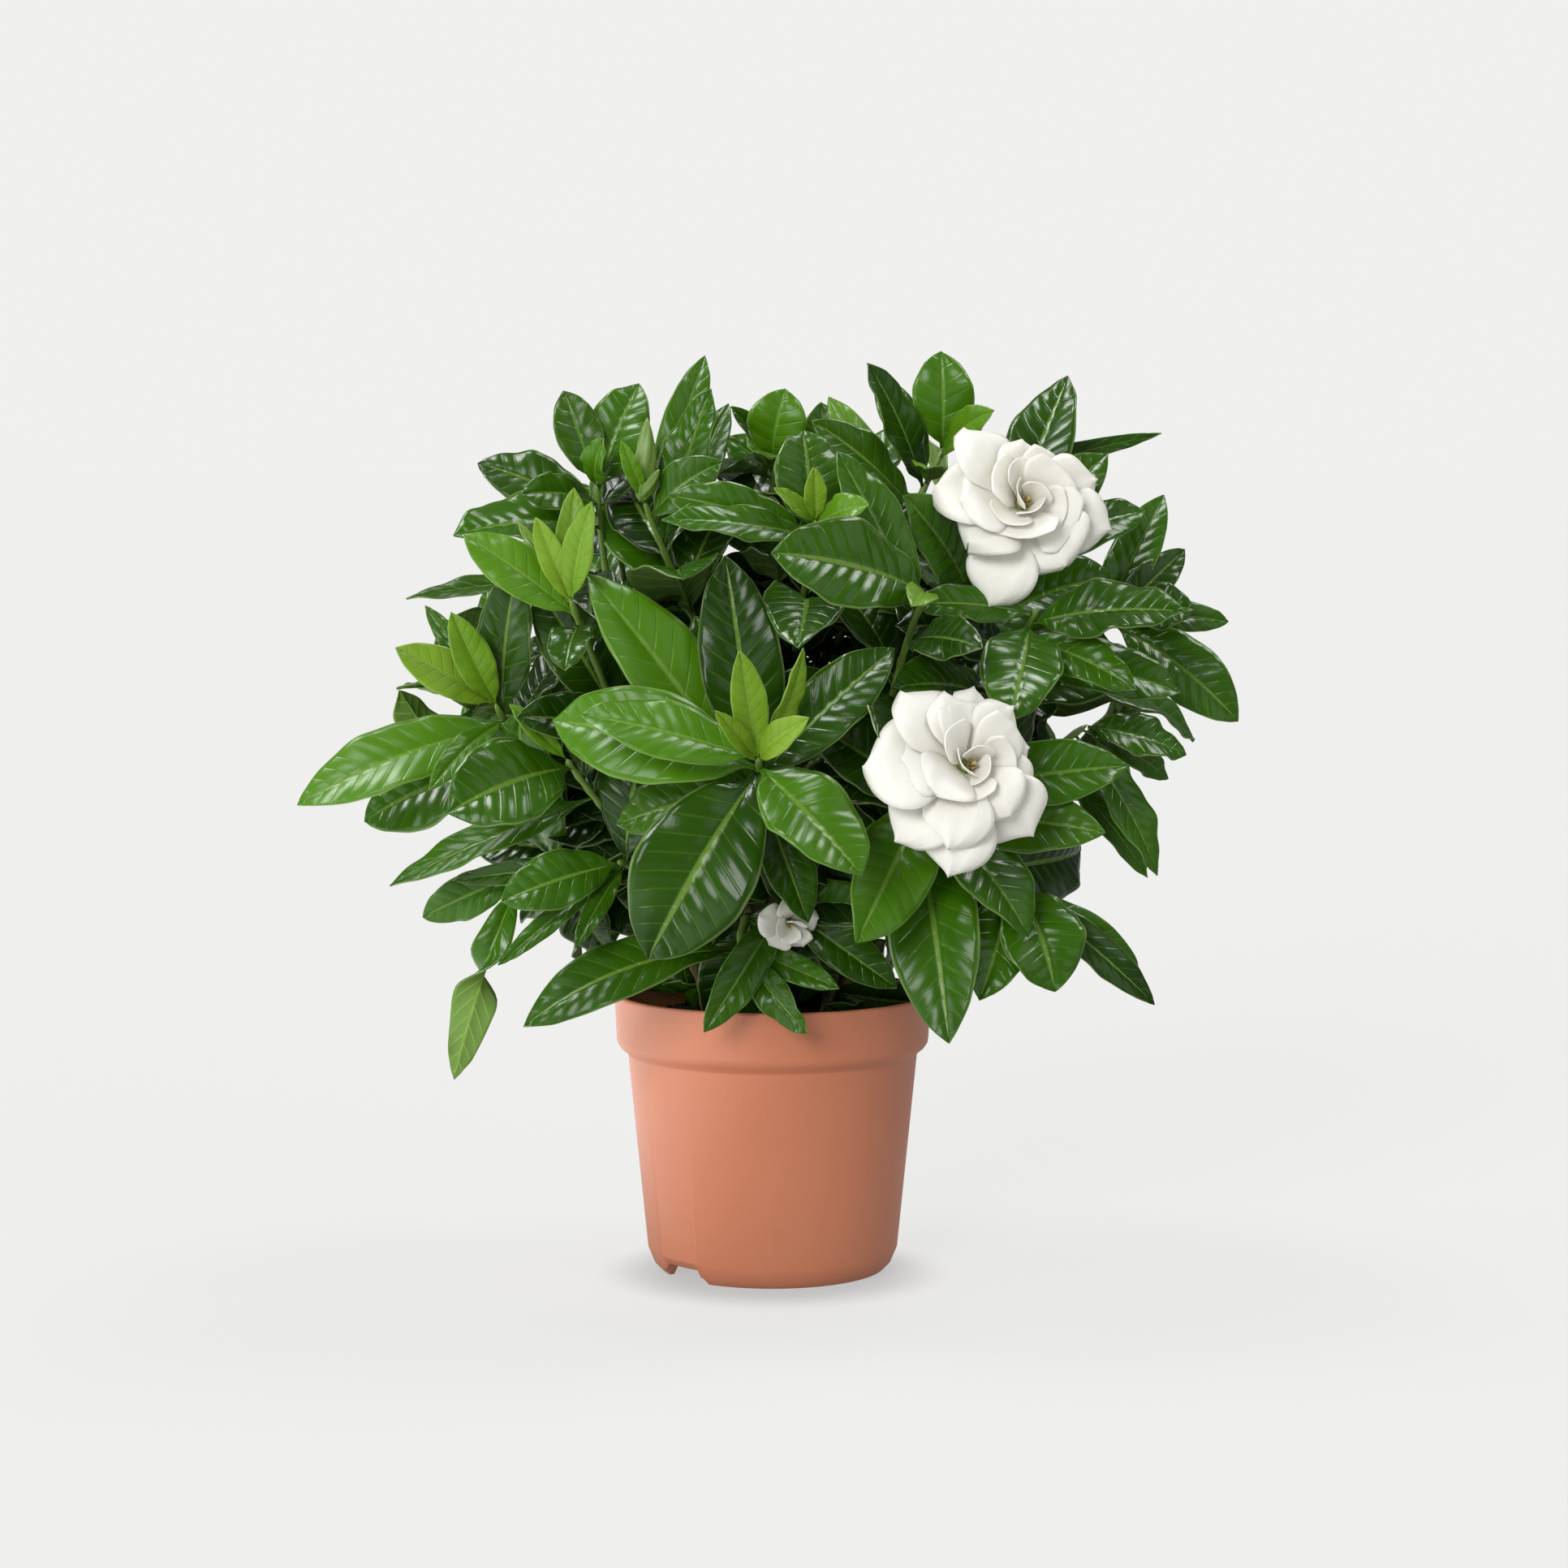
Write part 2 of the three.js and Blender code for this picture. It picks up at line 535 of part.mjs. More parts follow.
// A main stem: a trunk with a branch to the base of each of its shoots.
function stemSolid(index) {
  const trunk = trunkCurve(STEMS[index]);
  const foot = trunk.v0.clone().setZ(SOIL.top - STEM.buried);
  const neck = trunk.v0.clone().setZ(trunk.v0.z + 1);
  const parts = [
    tube(new THREE.LineCurve3(foot, neck), STEM.radius, STEM.sides, 1),
    tube(trunk, STEM.radius, STEM.sides, STEM.steps),
  ];
  const shoots = SHOOTS.filter((shoot) => shoot[1] === index);
  shoots.forEach((shoot, i) => {
    const start = trunk.getPointAt(STEM.highestBranch - (STEM.branchSpread * i) / shoots.length);
    const base = vector(shoot[2]);
    const back = base.clone().sub(vector(shoot[3])).setLength(STEM.branchLead * base.distanceTo(start));
    const curve = new THREE.QuadraticBezierCurve3(start, base.clone().add(back), base);
    parts.push(tube(curve, STEM.branchRadius, STEM.branchSides, STEM.branchSteps));
  });
  return join(parts);
}

function shootSolid(shoot) {
  const start = vector(shoot[2]);
  const lead = vector(shoot[3]).sub(start).setLength(GAP);
  const curve = shootCurve(shoot);
  curve.v0.add(lead);
  return tube(curve, SHOOT.radius, SHOOT.sides, SHOOT.steps);
}

// A closed blade with a diamond section. Each station has a centre, a side and an up direction, a
// half width and the lift of its two edges. Both faces are split from the midrib to the next edge.
function bladeSolid(stations, tip, thickness) {
  const points = [];
  for (const { centre, side, up, half, rightLift, leftLift } of stations) {
    points.push(centre.clone().addScaledVector(up, thickness / 2));
    points.push(centre.clone().addScaledVector(side, half).addScaledVector(up, rightLift));
    points.push(centre.clone().addScaledVector(up, -thickness / 2));
    points.push(centre.clone().addScaledVector(side, -half).addScaledVector(up, leftLift));
  }
  points.push(tip);
  const faces = [0, 3, 2, 0, 2, 1];
  for (let i = 0; i + 1 < stations.length; i += 1) {
    const [top, right, under, left] = [4 * i, 4 * i + 1, 4 * i + 2, 4 * i + 3];
    faces.push(top, right, right + 4, top, right + 4, top + 4);
    faces.push(under, right + 4, right, under, under + 4, right + 4);
    faces.push(top, left + 4, left, top, top + 4, left + 4);
    faces.push(under, left, left + 4, under, left + 4, under + 4);
  }
  const last = 4 * (stations.length - 1);
  const end = points.length - 1;
  for (let k = 0; k < 4; k += 1) faces.push(last + k, last + ((k + 1) % 4), end);
  const geometry = new THREE.BufferGeometry().setFromPoints(points);
  geometry.setIndex(faces);
  return toSolid(geometry);
}

// The way a leaf's upper face looks: along its shoot, out of the bush and up.
function leafFacing(shoot) {
  const tip = vector(shoot[4]);
  const axis = tip.clone().sub(vector(shoot[3])).normalize();
  const outward = tip.clone().sub(HEART).normalize();
  return axis.multiplyScalar(FACING.axis).addScaledVector(outward, FACING.outward)
    .add(new THREE.Vector3(0, 0, FACING.up)).normalize();
}

// A leaf bent by one of the bends: its root, chord, normal and side.
function leafFrame(leaf, [raise, swing]) {
  const chord = leaf.tip.clone().sub(leaf.root);
  const length = chord.length();
  chord.normalize();
  const normal = leaf.facing.clone().addScaledVector(chord, -leaf.facing.dot(chord)).normalize();
  normal.applyAxisAngle(chord, THREE.MathUtils.degToRad(leaf.roll));
  const side = chord.clone().cross(normal);
  chord.applyAxisAngle(side, THREE.MathUtils.degToRad(raise));
  normal.applyAxisAngle(side, THREE.MathUtils.degToRad(raise));
  chord.applyAxisAngle(normal, THREE.MathUtils.degToRad(swing));
  side.crossVectors(chord, normal);
  return { chord, normal, side, length };
}

function leafStation(leaf, frame, t, half) {
  const arch = leaf.arch * 4 * t * (1 - t);
  const centre = leaf.root.clone().addScaledVector(frame.chord, frame.length * t);
  centre.addScaledVector(frame.normal, arch);
  const slope = (leaf.arch * 4 * (1 - 2 * t)) / frame.length;
  const forward = frame.chord.clone().addScaledVector(frame.normal, slope).normalize();
  const up = frame.side.clone().cross(forward);
  const fold = BLADE.fold * half;
  const wave = BLADE.wave * (1 - 0.6 * leaf.youth) * Math.min(1, half / 8);
  const turn = 2 * Math.PI * BLADE.waves * t + leaf.phase;
  return {
    centre,
    side: frame.side,
    up,
    half,
    rightLift: fold + wave * Math.sin(turn),
    leftLift: fold + wave * Math.sin(turn + BLADE.edgeLag),
  };
}

function leafSolid(leaf, bend, from = 0, clearance = 0) {
  const frame = leafFrame(leaf, bend);
  const stations = leaf.stations.slice(from).map(([t, share]) => {
    const half = Math.max(BLADE.rootHalf, (share * leaf.width) / 2);
    return leafStation(leaf, frame, t, half + clearance);
  });
  const tip = leaf.root.clone().addScaledVector(frame.chord, frame.length + clearance);
  return bladeSolid(stations, tip, BLADE.thickness + 2 * clearance);
}

// Numbers from 0 to 1 in a fixed order for each seed.
function draws(seed) {
  let state = seed >>> 0;
  return () => {
    state = (Math.imul(state, 1664525) + 1013904223) >>> 0;
    return state / 4294967296;
  };
}

// A point on a green stem, whose straight stretches meet at evenly spaced points of its curve.
function stemPoint(curve, at) {
  const points = curve.getSpacedPoints(SHOOT.steps);
  const stretch = Math.min(Math.floor(at * SHOOT.steps), SHOOT.steps - 1);
  return points[stretch].lerp(points[stretch + 1], at * SHOOT.steps - stretch);
}

// A leaf's root: on its stem, off the middle towards the side that the leaf leaves from.
function leafRoot(curve, at, tip) {
  const place = Math.min(at, SHOOT.lastLeaf);
  const root = stemPoint(curve, place);
  const axis = curve.getTangentAt(place);
  const away = tip.clone().sub(root);
  away.addScaledVector(axis, -away.dot(axis)).setLength(SHOOT.radius - BLADE.rootSunk);
  return root.add(away);
}

// Long leaves have the most stations and short ones the fewest.
function bladeStations(length) {
  if (length > BLADE.fineLength) return BLADE.fine;
  return length > BLADE.plainLength ? BLADE.plain : BLADE.coarse;
}

function placedLeaves(shoot, index) {
  const curve = shootCurve(shoot);
  const facing = leafFacing(shoot).multiplyScalar(FACING.placed).add(FRONT).normalize();
  const spacing = SHOOT.internode / curve.getLength();
  let highest = 1;
  return [...shoot[5]].sort((a, b) => b[0] - a[0]).map(([wanted, x, y, z, width, arch, roll, youth], i) => {
    const at = Math.min(wanted, highest);
    highest = at - spacing;
    const tip = new THREE.Vector3(x, y, z);
    const root = leafRoot(curve, at, tip);
    const stations = bladeStations(root.distanceTo(tip));
    return { root, tip, facing, width, arch, roll, youth, phase: index + 2.4 * i, stations };
  });
}

// Whorls of leaves round a shoot, each turned from the one below, with seeded differences.
function ruledLeaves(shoot, index) {
  const curve = shootCurve(shoot);
  const facing = leafFacing(shoot);
  const draw = draws(7919 * (index + 1));
  const bare = shoot[5].length === 0 && !BLOOMS.some((bloom) => bloom[1] === shoot[0]);
  const whorls = bare ? [...BACK_WHORLS, END_TIPS] : WHORLS;
  const leaves = [];
  let turn = 2 * Math.PI * draw();
  for (const [at, count, length, width, tilt, youth] of whorls) {
    const axis = curve.getTangentAt(at);
    const across = new THREE.Vector3(0, 0, 1).cross(axis).normalize();
    for (let i = 0; i < count; i += 1) {
      const place = at + (DIFFER.step * i) / count;
      const angle = turn + (2 * Math.PI * i) / count + DIFFER.turn * (draw() - 0.5);
      const lean = THREE.MathUtils.degToRad(tilt + DIFFER.tilt * (draw() - 0.5));
      const size = DIFFER.size[0] + DIFFER.size[1] * draw();
      const radial = across.clone().applyAxisAngle(axis, angle);
      const way = axis.clone().multiplyScalar(Math.cos(lean)).addScaledVector(radial, Math.sin(lean));
      const tip = stemPoint(curve, Math.min(place, SHOOT.lastLeaf)).addScaledVector(way, length * size);
      const leaf = {
        root: leafRoot(curve, place, tip),
        tip,
        facing,
        width: width * size,
        arch: length * (DIFFER.arch[0] + DIFFER.arch[1] * draw()),
        roll: DIFFER.roll * (draw() - 0.5),
        youth,
        phase: 6 * draw(),
        stations: at < BLADE.coarseBelow ? BLADE.coarse : bladeStations(Math.min(length, BLADE.fineLength)),
      };
      if (tip.z > SKIRT[0] + SKIRT[1] * Math.hypot(tip.x, tip.y)) leaves.push(leaf);
    }
    turn += Math.PI / count + DIFFER.next;
  }
  return leaves;
}

// A pointed bud: a spindle on the end of its shoot.
function budSolid([name, length, radius, lean]) {
  const shoot = SHOOTS.find((entry) => entry[0] === name);
  const geometry = lathe(BUD.outline.map(([across, along]) => [across * radius, along * length]), BUD.sides);
  const way = vector(lean).normalize();
  geometry.applyQuaternion(new THREE.Quaternion().setFromUnitVectors(new THREE.Vector3(0, 0, 1), way));
  geometry.translate(...vector(shoot[4]).addScaledVector(way, -BUD.sunk).toArray());
  return toSolid(geometry);
}

// ---------------------------------------------------------------- blooms

function bloomFrame([, shootName]) {
  const shoot = SHOOTS.find((entry) => entry[0] === shootName);
  const axis = vector(shoot[4]).sub(vector(shoot[3])).normalize();
  const across = new THREE.Vector3(0, 0, 1).cross(axis).normalize();
  return { seat: vector(shoot[4]).addScaledVector(axis, GAP), axis, across };
}

// A petal springs from the tube's end and curls from its root's rise to its tip's. Its roll laps each
// petal over the next one round.
function petalSolid(frame, size, petal, [lift, swing], from = 0) {
  const [turn, length, width, rootRise, tipRise, height] = petal;
  const radial = frame.across.clone().applyAxisAngle(frame.axis, THREE.MathUtils.degToRad(turn + swing));
  const centre = frame.seat.clone().addScaledVector(frame.axis, height * size);
  centre.addScaledVector(radial, PETAL.rootRadius * size);
  const spine = [];
  for (let i = 0; i <= PETAL.steps; i += 1) {
    const rise = THREE.MathUtils.degToRad(rootRise + lift + ((tipRise - rootRise) * i) / PETAL.steps);
    const forward = radial.clone().multiplyScalar(Math.cos(rise));
    forward.addScaledVector(frame.axis, Math.sin(rise));
    spine.push({ centre: centre.clone(), forward });
    centre.addScaledVector(forward, (length * size) / PETAL.steps);
  }
  const stations = PETAL.stations.slice(from).map(([t, share]) => {
    const { centre: middle, forward } = spine[Math.round(t * PETAL.steps)];
    const side = radial.clone().cross(frame.axis);
    side.applyAxisAngle(forward, THREE.MathUtils.degToRad(PETAL.roll));
    const up = side.clone().cross(forward);
    const half = (share * width * size) / 2;
    const wave = PETAL.wave * size * Math.min(1, 2 * t);
    const phase = 2 * Math.PI * PETAL.waves * t + THREE.MathUtils.degToRad(2 * turn);
    return {
      centre: middle,
      side,
      up,
      half,
      rightLift: PETAL.cup * half + wave * Math.sin(phase),
      leftLift: PETAL.cup * half + wave * Math.sin(phase + PETAL.edgeLag),
    };
  });
  return bladeSolid(stations, spine[PETAL.steps].centre, PETAL.thickness);
}

// Petals stand round the tube, the inner ones placed first. Each takes the first shift that keeps it
// off the others, and one with no such shift isn't grown.
function bloomSolid(bloom) {
  const [, , size, petals] = bloom;
  const frame = bloomFrame(bloom);
  const end = frame.seat.clone().addScaledVector(frame.axis, TUBE.length * size);
  const parts = [tube(new THREE.LineCurve3(frame.seat, end), TUBE.radius * size, TUBE.sides, 1)];
  const outers = [];
  for (const petal of [...petals].reverse()) {
    const shift = PETAL.shifts.find((each) => {
      const outer = petalSolid(frame, size, petal, each, 1);
      return outers.every((other) => outer.intersect(other).isEmpty());
    });
    if (shift !== undefined) {
      parts.push(petalSolid(frame, size, petal, shift));
      outers.push(petalSolid(frame, size, petal, shift, 1));
    }
  }
  return join(parts);
}

// The stamens: slim anthers round a style, standing in the bloom's mouth.
function bloomCentreSolid(bloom) {
  const size = bloom[2];
  const frame = bloomFrame(bloom);
  const base = frame.seat.clone().addScaledVector(frame.axis, TUBE.length * size + GAP);
  const top = base.clone().addScaledVector(frame.axis, CENTRE.style * size);
  const parts = [tube(new THREE.LineCurve3(base, top), CENTRE.styleRadius * size, CENTRE.sides, 1)];
  for (let i = 0; i < CENTRE.anthers; i += 1) {
    const radial = frame.across.clone().applyAxisAngle(frame.axis, (2 * Math.PI * i) / CENTRE.anthers);
    const start = base.clone().addScaledVector(frame.axis, 0.6);
    const end = base.clone().addScaledVector(frame.axis, CENTRE.length * size)
      .addScaledVector(radial, CENTRE.spread * size);
    parts.push(tube(new THREE.LineCurve3(start, end), CENTRE.radius * size, CENTRE.sides, 1));
  }
  return join(parts);
}

// ---------------------------------------------------------------- placing leaves clear of each other

const placed = [];

function boxOf(solid) {
  const { min, max } = solid.boundingBox();
  return new THREE.Box3(vector(min), vector(max));
}

// A leaf is noted with its outer part, which leaves out its root. Other solids have none.
function place(node, solid, outer) {
  placed.push({ node, solid, outer, box: boxOf(solid) });
}

function meets(one, other) {
  return !one.intersect(other).isEmpty();
}

// Leaves of one shoot may touch at their roots only. Nothing else may touch at all.
function crosses(node, solid, outer) {
  const box = boxOf(solid);
  return placed.some((other) => {
    if (!other.box.intersectsBox(box)) return false;
    if (other.node !== node) return meets(solid, other.solid);
    return meets(outer, other.solid) || (other.outer !== undefined && meets(solid, other.outer));
  });
}

// Adds a leaf to its shoot at the first bend that keeps it clear. One with no such bend isn't grown.
function growLeaf(node, leaf, parts) {
  const bend = BENDS.find((each) => {
    return !crosses(node, leafSolid(leaf, each, 0, GAP), leafSolid(leaf, each, 1, GAP));
  });
  if (bend === undefined) return;
  const solid = leafSolid(leaf, bend);
  parts.push(solid);
  place(node, solid, leafSolid(leaf, bend, 1));
}

// ---------------------------------------------------------------- materials and assembly

const MATERIALS = {
  pot: { color: 0xc98a6d, roughness: 0.55, metalness: 0 },
  soil: { color: 0x2b1f17, roughness: 0.95, metalness: 0 },
  stem_bark: { color: 0x5f5a3a, roughness: 0.8, metalness: 0 },
  leaf: { color: 0x2f5414, roughness: 0.3, metalness: 0 },
  petal: { color: 0xf7f6ee, roughness: 0.6, metalness: 0 },
  stamen: { color: 0xb6a574, roughness: 0.8, metalness: 0 },
};

const group = new THREE.Group();

function addMesh(name, solid, material) {
  const mesh = new THREE.Mesh(toGeometry(solid), new THREE.MeshStandardMaterial(MATERIALS[material]));
  mesh.name = name;
  group.add(mesh);
}

function addFixed(name, solid, material) {
  place(name, solid);
  addMesh(name, solid, material);
}

addFixed('pot', potSolid(), 'pot');
addFixed('potting_soil', soilSolid(), 'soil');
STEMS.forEach((stem, i) => addFixed(`main_stem_${i + 1}`, stemSolid(i), 'stem_bark'));
for (const bloom of BLOOMS) {
  addFixed(`${bloom[0]}_petals`, bloomSolid(bloom), 'petal');
  addFixed(`${bloom[0]}_stamens`, bloomCentreSolid(bloom), 'stamen');
}

const shootParts = SHOOTS.map((shoot) => {
  const parts = [shootSolid(shoot)];
  BUDS.filter((bud) => bud[0] === shoot[0]).forEach((bud) => parts.push(budSolid(bud)));
  parts.forEach((part) => place(shoot[0], part));
  return parts;
});
for (const leavesOf of [placedLeaves, ruledLeaves]) {
  SHOOTS.forEach((shoot, i) => {
    leavesOf(shoot, i).forEach((leaf) => growLeaf(shoot[0], leaf, shootParts[i]));
  });
}
SHOOTS.forEach((shoot, i) => addMesh(shoot[0], join(shootParts[i]), 'leaf'));

export default group;
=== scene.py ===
"""A gardenia bush with double white blooms in a nursery pot: its surfaces, light and camera."""

import json
import math
from bisect import bisect_right
from collections import namedtuple

import bmesh
import bpy
from mathutils import Matrix, Vector, noise
from mathutils.kdtree import KDTree

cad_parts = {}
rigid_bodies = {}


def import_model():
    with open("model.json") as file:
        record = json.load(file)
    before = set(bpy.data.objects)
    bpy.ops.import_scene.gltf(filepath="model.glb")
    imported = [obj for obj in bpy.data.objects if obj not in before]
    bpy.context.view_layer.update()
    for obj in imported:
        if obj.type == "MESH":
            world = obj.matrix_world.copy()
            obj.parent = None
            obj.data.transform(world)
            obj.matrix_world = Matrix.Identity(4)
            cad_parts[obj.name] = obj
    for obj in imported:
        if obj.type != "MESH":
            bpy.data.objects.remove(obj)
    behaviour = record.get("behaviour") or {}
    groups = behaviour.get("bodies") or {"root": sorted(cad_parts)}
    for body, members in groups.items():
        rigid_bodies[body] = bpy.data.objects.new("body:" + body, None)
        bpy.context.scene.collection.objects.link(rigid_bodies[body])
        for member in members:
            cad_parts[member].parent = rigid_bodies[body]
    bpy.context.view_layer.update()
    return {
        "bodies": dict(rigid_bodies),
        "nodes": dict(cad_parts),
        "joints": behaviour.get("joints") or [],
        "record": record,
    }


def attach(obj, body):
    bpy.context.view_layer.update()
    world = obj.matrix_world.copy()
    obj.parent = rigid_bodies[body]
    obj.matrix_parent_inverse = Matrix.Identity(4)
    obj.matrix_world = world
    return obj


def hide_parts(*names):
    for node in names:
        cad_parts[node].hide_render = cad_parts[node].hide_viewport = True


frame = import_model()

MM = 0.001

# ---------------------------------------------------------------- sizes, in millimetres

POT = {
    "height": 114.7,
    "rim_radius": 65.2,
    "collar_bottom_radius": 64.1,
    "collar_bottom": 94.7,
    "shoulder_radius": 59.5,
    "shoulder": 89.8,
    "wall_bottom_radius": 51.5,
    "wall_bottom": 9,
    "foot_radius": 46,
    "foot_wall": 2,
    "floor_top": 8,
    "wall": 1.4,
    "lip": 1.2,
    "segments": 180,
    "edge_width": 0.5,
    "edge_segments": 3,
    "edge_angle": 28,
}
NOTCH = {"angles": (-50, 130), "length": 25, "height": 6, "slope": 5}
SOIL = {
    "top": 102,
    "crown": 2.5,
    "rings": 44,
    "segments": 150,
    "roughness": 1.1,
    "grain": 6,
    "fractal": (0.7, 2.2, 4),
}
# Loose crumbs: how many, how far from the soil's edge, the least size and its range, how high they
# sit and how flat they are.
CRUMBS = {"count": 160, "margin": 4, "size": (0.8, 1.6), "lift": 0.4, "flatness": 0.6}
# Woody stems: the taper is a share of the radius at the foot and what is lost to the tip, and each
# knot is (size, rate along the stem).
STEM = {
    "radius": 3,
    "buried": 16,
    "neck": 2,
    "knee": 14,
    "branch_radius": 2,
    "highest_branch": 0.97,
    "branch_spread": 0.12,
    "branch_lead": 0.45,
    "taper": (0.95, 0.1),
    "knots": ((0.1, 34), (0.06, 80)),
    "branch_taper": (1.15, 0.2),
    "branch_knot": (0.08, 40),
}
SHOOT = {
    "radius": 1.7,
    "steps": 3,
    "internode": 2.4,
    "last_leaf": 0.985,
    "start": 0.01,
    "reach": 0.985,
    "taper": (1.05, 0.3),
    "joint": 0.12,
    "joint_spacing": 9,
}
BLADE = {
    "outline": [(0, 0.06), (0.06, 0.09), (0.18, 0.56), (0.42, 0.955), (0.55, 1), (0.66, 0.957),
                (0.86, 0.605), (0.95, 0.27), (1, 0)],
    "columns": 8,
    "rows_per_vein": 4,
    "root_sunk": 0.9,
    "thickness": 0.55,
    "fold": 0.16,
    "fold_rise": 1.6,
    "wave": 1.5,
    "waves": 2.4,
    "wave_width": 8,
    "edge_lag": 2,
    "crimp": 0.5,
    "crimp_rate": 2.3,
    "groove": 0.4,
    "rib": 0.1,
    "vein_skew": 0.15,
    "vein_depth": 0.8,
    "vein_width": 30,
    "veins": [(60, 11), (40, 9), (0, 6)],
    "youth_smooths": 0.6,
    "twist": 50,
    "winding": [(0, 0), (0.34, 0.05), (0.62, 0.93), (1, 1)],
}
# A leaf's stalk, which is full-sized under a leaf this wide and ends as a share of the midrib.
PETIOLE = {"leaf_width": 26, "end": 0.94, "drop": 0.8, "least": 0.2, "swell": 0.65, "taper": 0.8}
# How light a leaf is between its dark and its mid green: the least and the range. Outer and low
# leaves differ at random; inner leaves are kept dark, as painted shade inside the bush.
TONE_AND_PAINTED_SHADE = {"outer": (0.2, 0.8), "inner": (0, 0.3), "low": (0.3, 0.4)}
# Leaves inside the bush, which close the gaps between the outer ones; they are coloured dark as
# painted shade.
INNER = {
    "pair": 2,
    "length": 54,
    "width": 28,
    "tilt": 82,
    "shoot_shares": (0.08, 0.28, 0.48, 0.68, 0.88),
    "branch_shares": (0.3, 0.55, 0.8),
    "middle": (0, 10, 216),
    "radii": (134, 92, 128),
}
# Low leaves over the soil, along the trunks.
LOW = {
    "shares": (0.04, 0.16, 0.3),
    "length": 40,
    "width": 20,
    "tilt": 96,
    "reach": 76,
    "above": 110,
}
# How far inner and low leaves differ: turns, tilts and rolls in degrees, the least size, arch and
# turn between pairs with their ranges, and how far a leaf faces up and to the front.
STRAY = {
    "turn": 50,
    "tilt": 30,
    "roll": 40,
    "size": (0.8, 0.4),
    "arch": (3, 6),
    "next": (90, 30),
    "up": 0.5,
    "front": 0.4,
    "youth": 0.05,
}
# Leaves that hang twisted, as the shoot, the leaf's place in the order of growth and the degrees.
TWISTED = {("shoot_left_droop", 0): 170}
PETAL = {
    "outline": [(0, 0.1), (0.3, 0.56), (0.56, 1), (0.74, 0.93), (0.9, 0.52), (1, 0.04)],
    "spread": 1.12,
    "inner_outline": [(0, 0.1), (0.3, 0.5), (0.64, 1), (0.88, 0.9), (1, 0.72)],
    "inside_length": 18,
    "outside_length": 30,
    "thickness": 0.5,
    "root_radius": 2.4,
    "roll": 20,
    "rounding": 0.12,
    "cup": (0.34, 0.2),
    "bulge": 1.3,
    "edge": 0.4,
    "edge_roll": 4,
    "end": 0.6,
    "end_roll": (1.2, 3.5),
    "ruffle": (1.3, 8, 5, 1.9),
    "fold": (0.5, 9, 3, 0.6),
    "steps": 24,
    "rows": 22,
    "columns": 14,
    "shifts": [[0, 0], [-4, 0], [4, 0], [-4, 6], [-4, -6], [-8, 0], [8, 0], [-8, 6], [-8, -6],
               [-12, 0], [-14, 8], [-14, -8], [12, 0], [-18, 0], [-18, 8], [-18, -8], [-24, 0]],
}
BUD = {
    "outline": [(0, 0), (0.03, 0.45), (0.2, 0.75), (0.45, 1), (0.78, 0.6), (0.97, 0.14), (1, 0)],
    "sunk": 2.5,
    "ridges": 5,
    "ridge": 0.1,
    "winding": 1.6,
    "rows": 18,
    "columns": 30,
}
# Faces along and round each kind of tube.
GRIDS = {
    "trunk": (40, 10),
    "branch": (18, 8),
    "shoot": (24, 8),
    "petiole": (8, 6),
    "calyx": (12, 20),
    "style": (14, 10),
    "anther": (10, 6),
}

UP = Vector((0, 0, 1))
HEART = Vector((0, 10, 190))
FACING = {"axis": 0.6, "outward": 0.4, "up": 0.3, "placed": 0.45}
FRONT = Vector((0, -0.9, 0.25))
# Where the waves of a leaf's edge start: the step between placed leaves and the others' range.
WAVE_STEP = 2.4
WAVE_STARTS = 6
TUBE_REFERENCE = Vector((0.31, 0.87, 0.12))
GAP = 0.3
WELD = 0.001
TIP_TOLERANCE = 0.05
SEEDS = {
    "whorls": 7919,
    "looks": 104729,
    "shoot_inner": 15485863,
    "branch_inner": 32452843,
    "trunk_looks": 49979687,
    "trunk_low": 86028121,
    "crumbs": 271,
}

# ---------------------------------------------------------------- colours, light and camera


def rgb(red, green, blue):
    """A linear colour from the screen's 0 to 255 values."""
    def linear(value):
        share = value / 255
        return share / 12.92 if share <= 0.04045 else ((share + 0.055) / 1.055) ** 2.4
    return (linear(red), linear(green), linear(blue), 1)


# A leaf's greens. The fresh and young greens are partly the young leaves' own colour and partly
# painted light shining through them.
LEAF_COLOURS = {
    "dark": rgb(20, 44, 3),
    "mid": rgb(52, 95, 7),
    "fresh": rgb(76, 126, 9),
    "young": rgb(114, 148, 34),
    "vein": rgb(96, 142, 36),
    "midrib": rgb(140, 176, 74),
    "margin": rgb(160, 184, 110),
    "under": rgb(96, 128, 62),
}
# A leaf's marks. Each starts and is full at these shares of the way from the midrib to the edge,
# but a vein's are shares of the space between veins. Each shows this strongly over the blade.
MARKS = {
    "midrib": (0.13, 0.05),
    "vein": (0.1, 0.015),
    "vein_end": (0.9, 0.6),
    "margin": (0.9, 0.97),
}
MARK_STRENGTH = {"midrib": 0.38, "vein": 0.16, "margin": 0.3, "under": 0.6}
STEM_COLOURS = {
    "green": rgb(72, 104, 34),
    "pale_green": rgb(120, 150, 62),
    "bark": rgb(70, 58, 38),
    "pale_bark": rgb(140, 124, 88),
    "mossy": rgb(88, 96, 52),
}
BLOOM_COLOURS = {
    "soft_white": rgb(234, 231, 218),
    "white": rgb(241, 239, 231),
    "cream": rgb(232, 224, 178),
    "ochre": rgb(150, 118, 60),
    "straw": rgb(206, 186, 130),
}
POT_COLOURS = {"deep": rgb(192, 114, 80), "light": rgb(199, 121, 86), "speck": rgb(216, 156, 130)}
SOIL_COLOURS = {"dark": rgb(24, 16, 10), "light": rgb(86, 62, 42), "bits": rgb(118, 96, 68)}
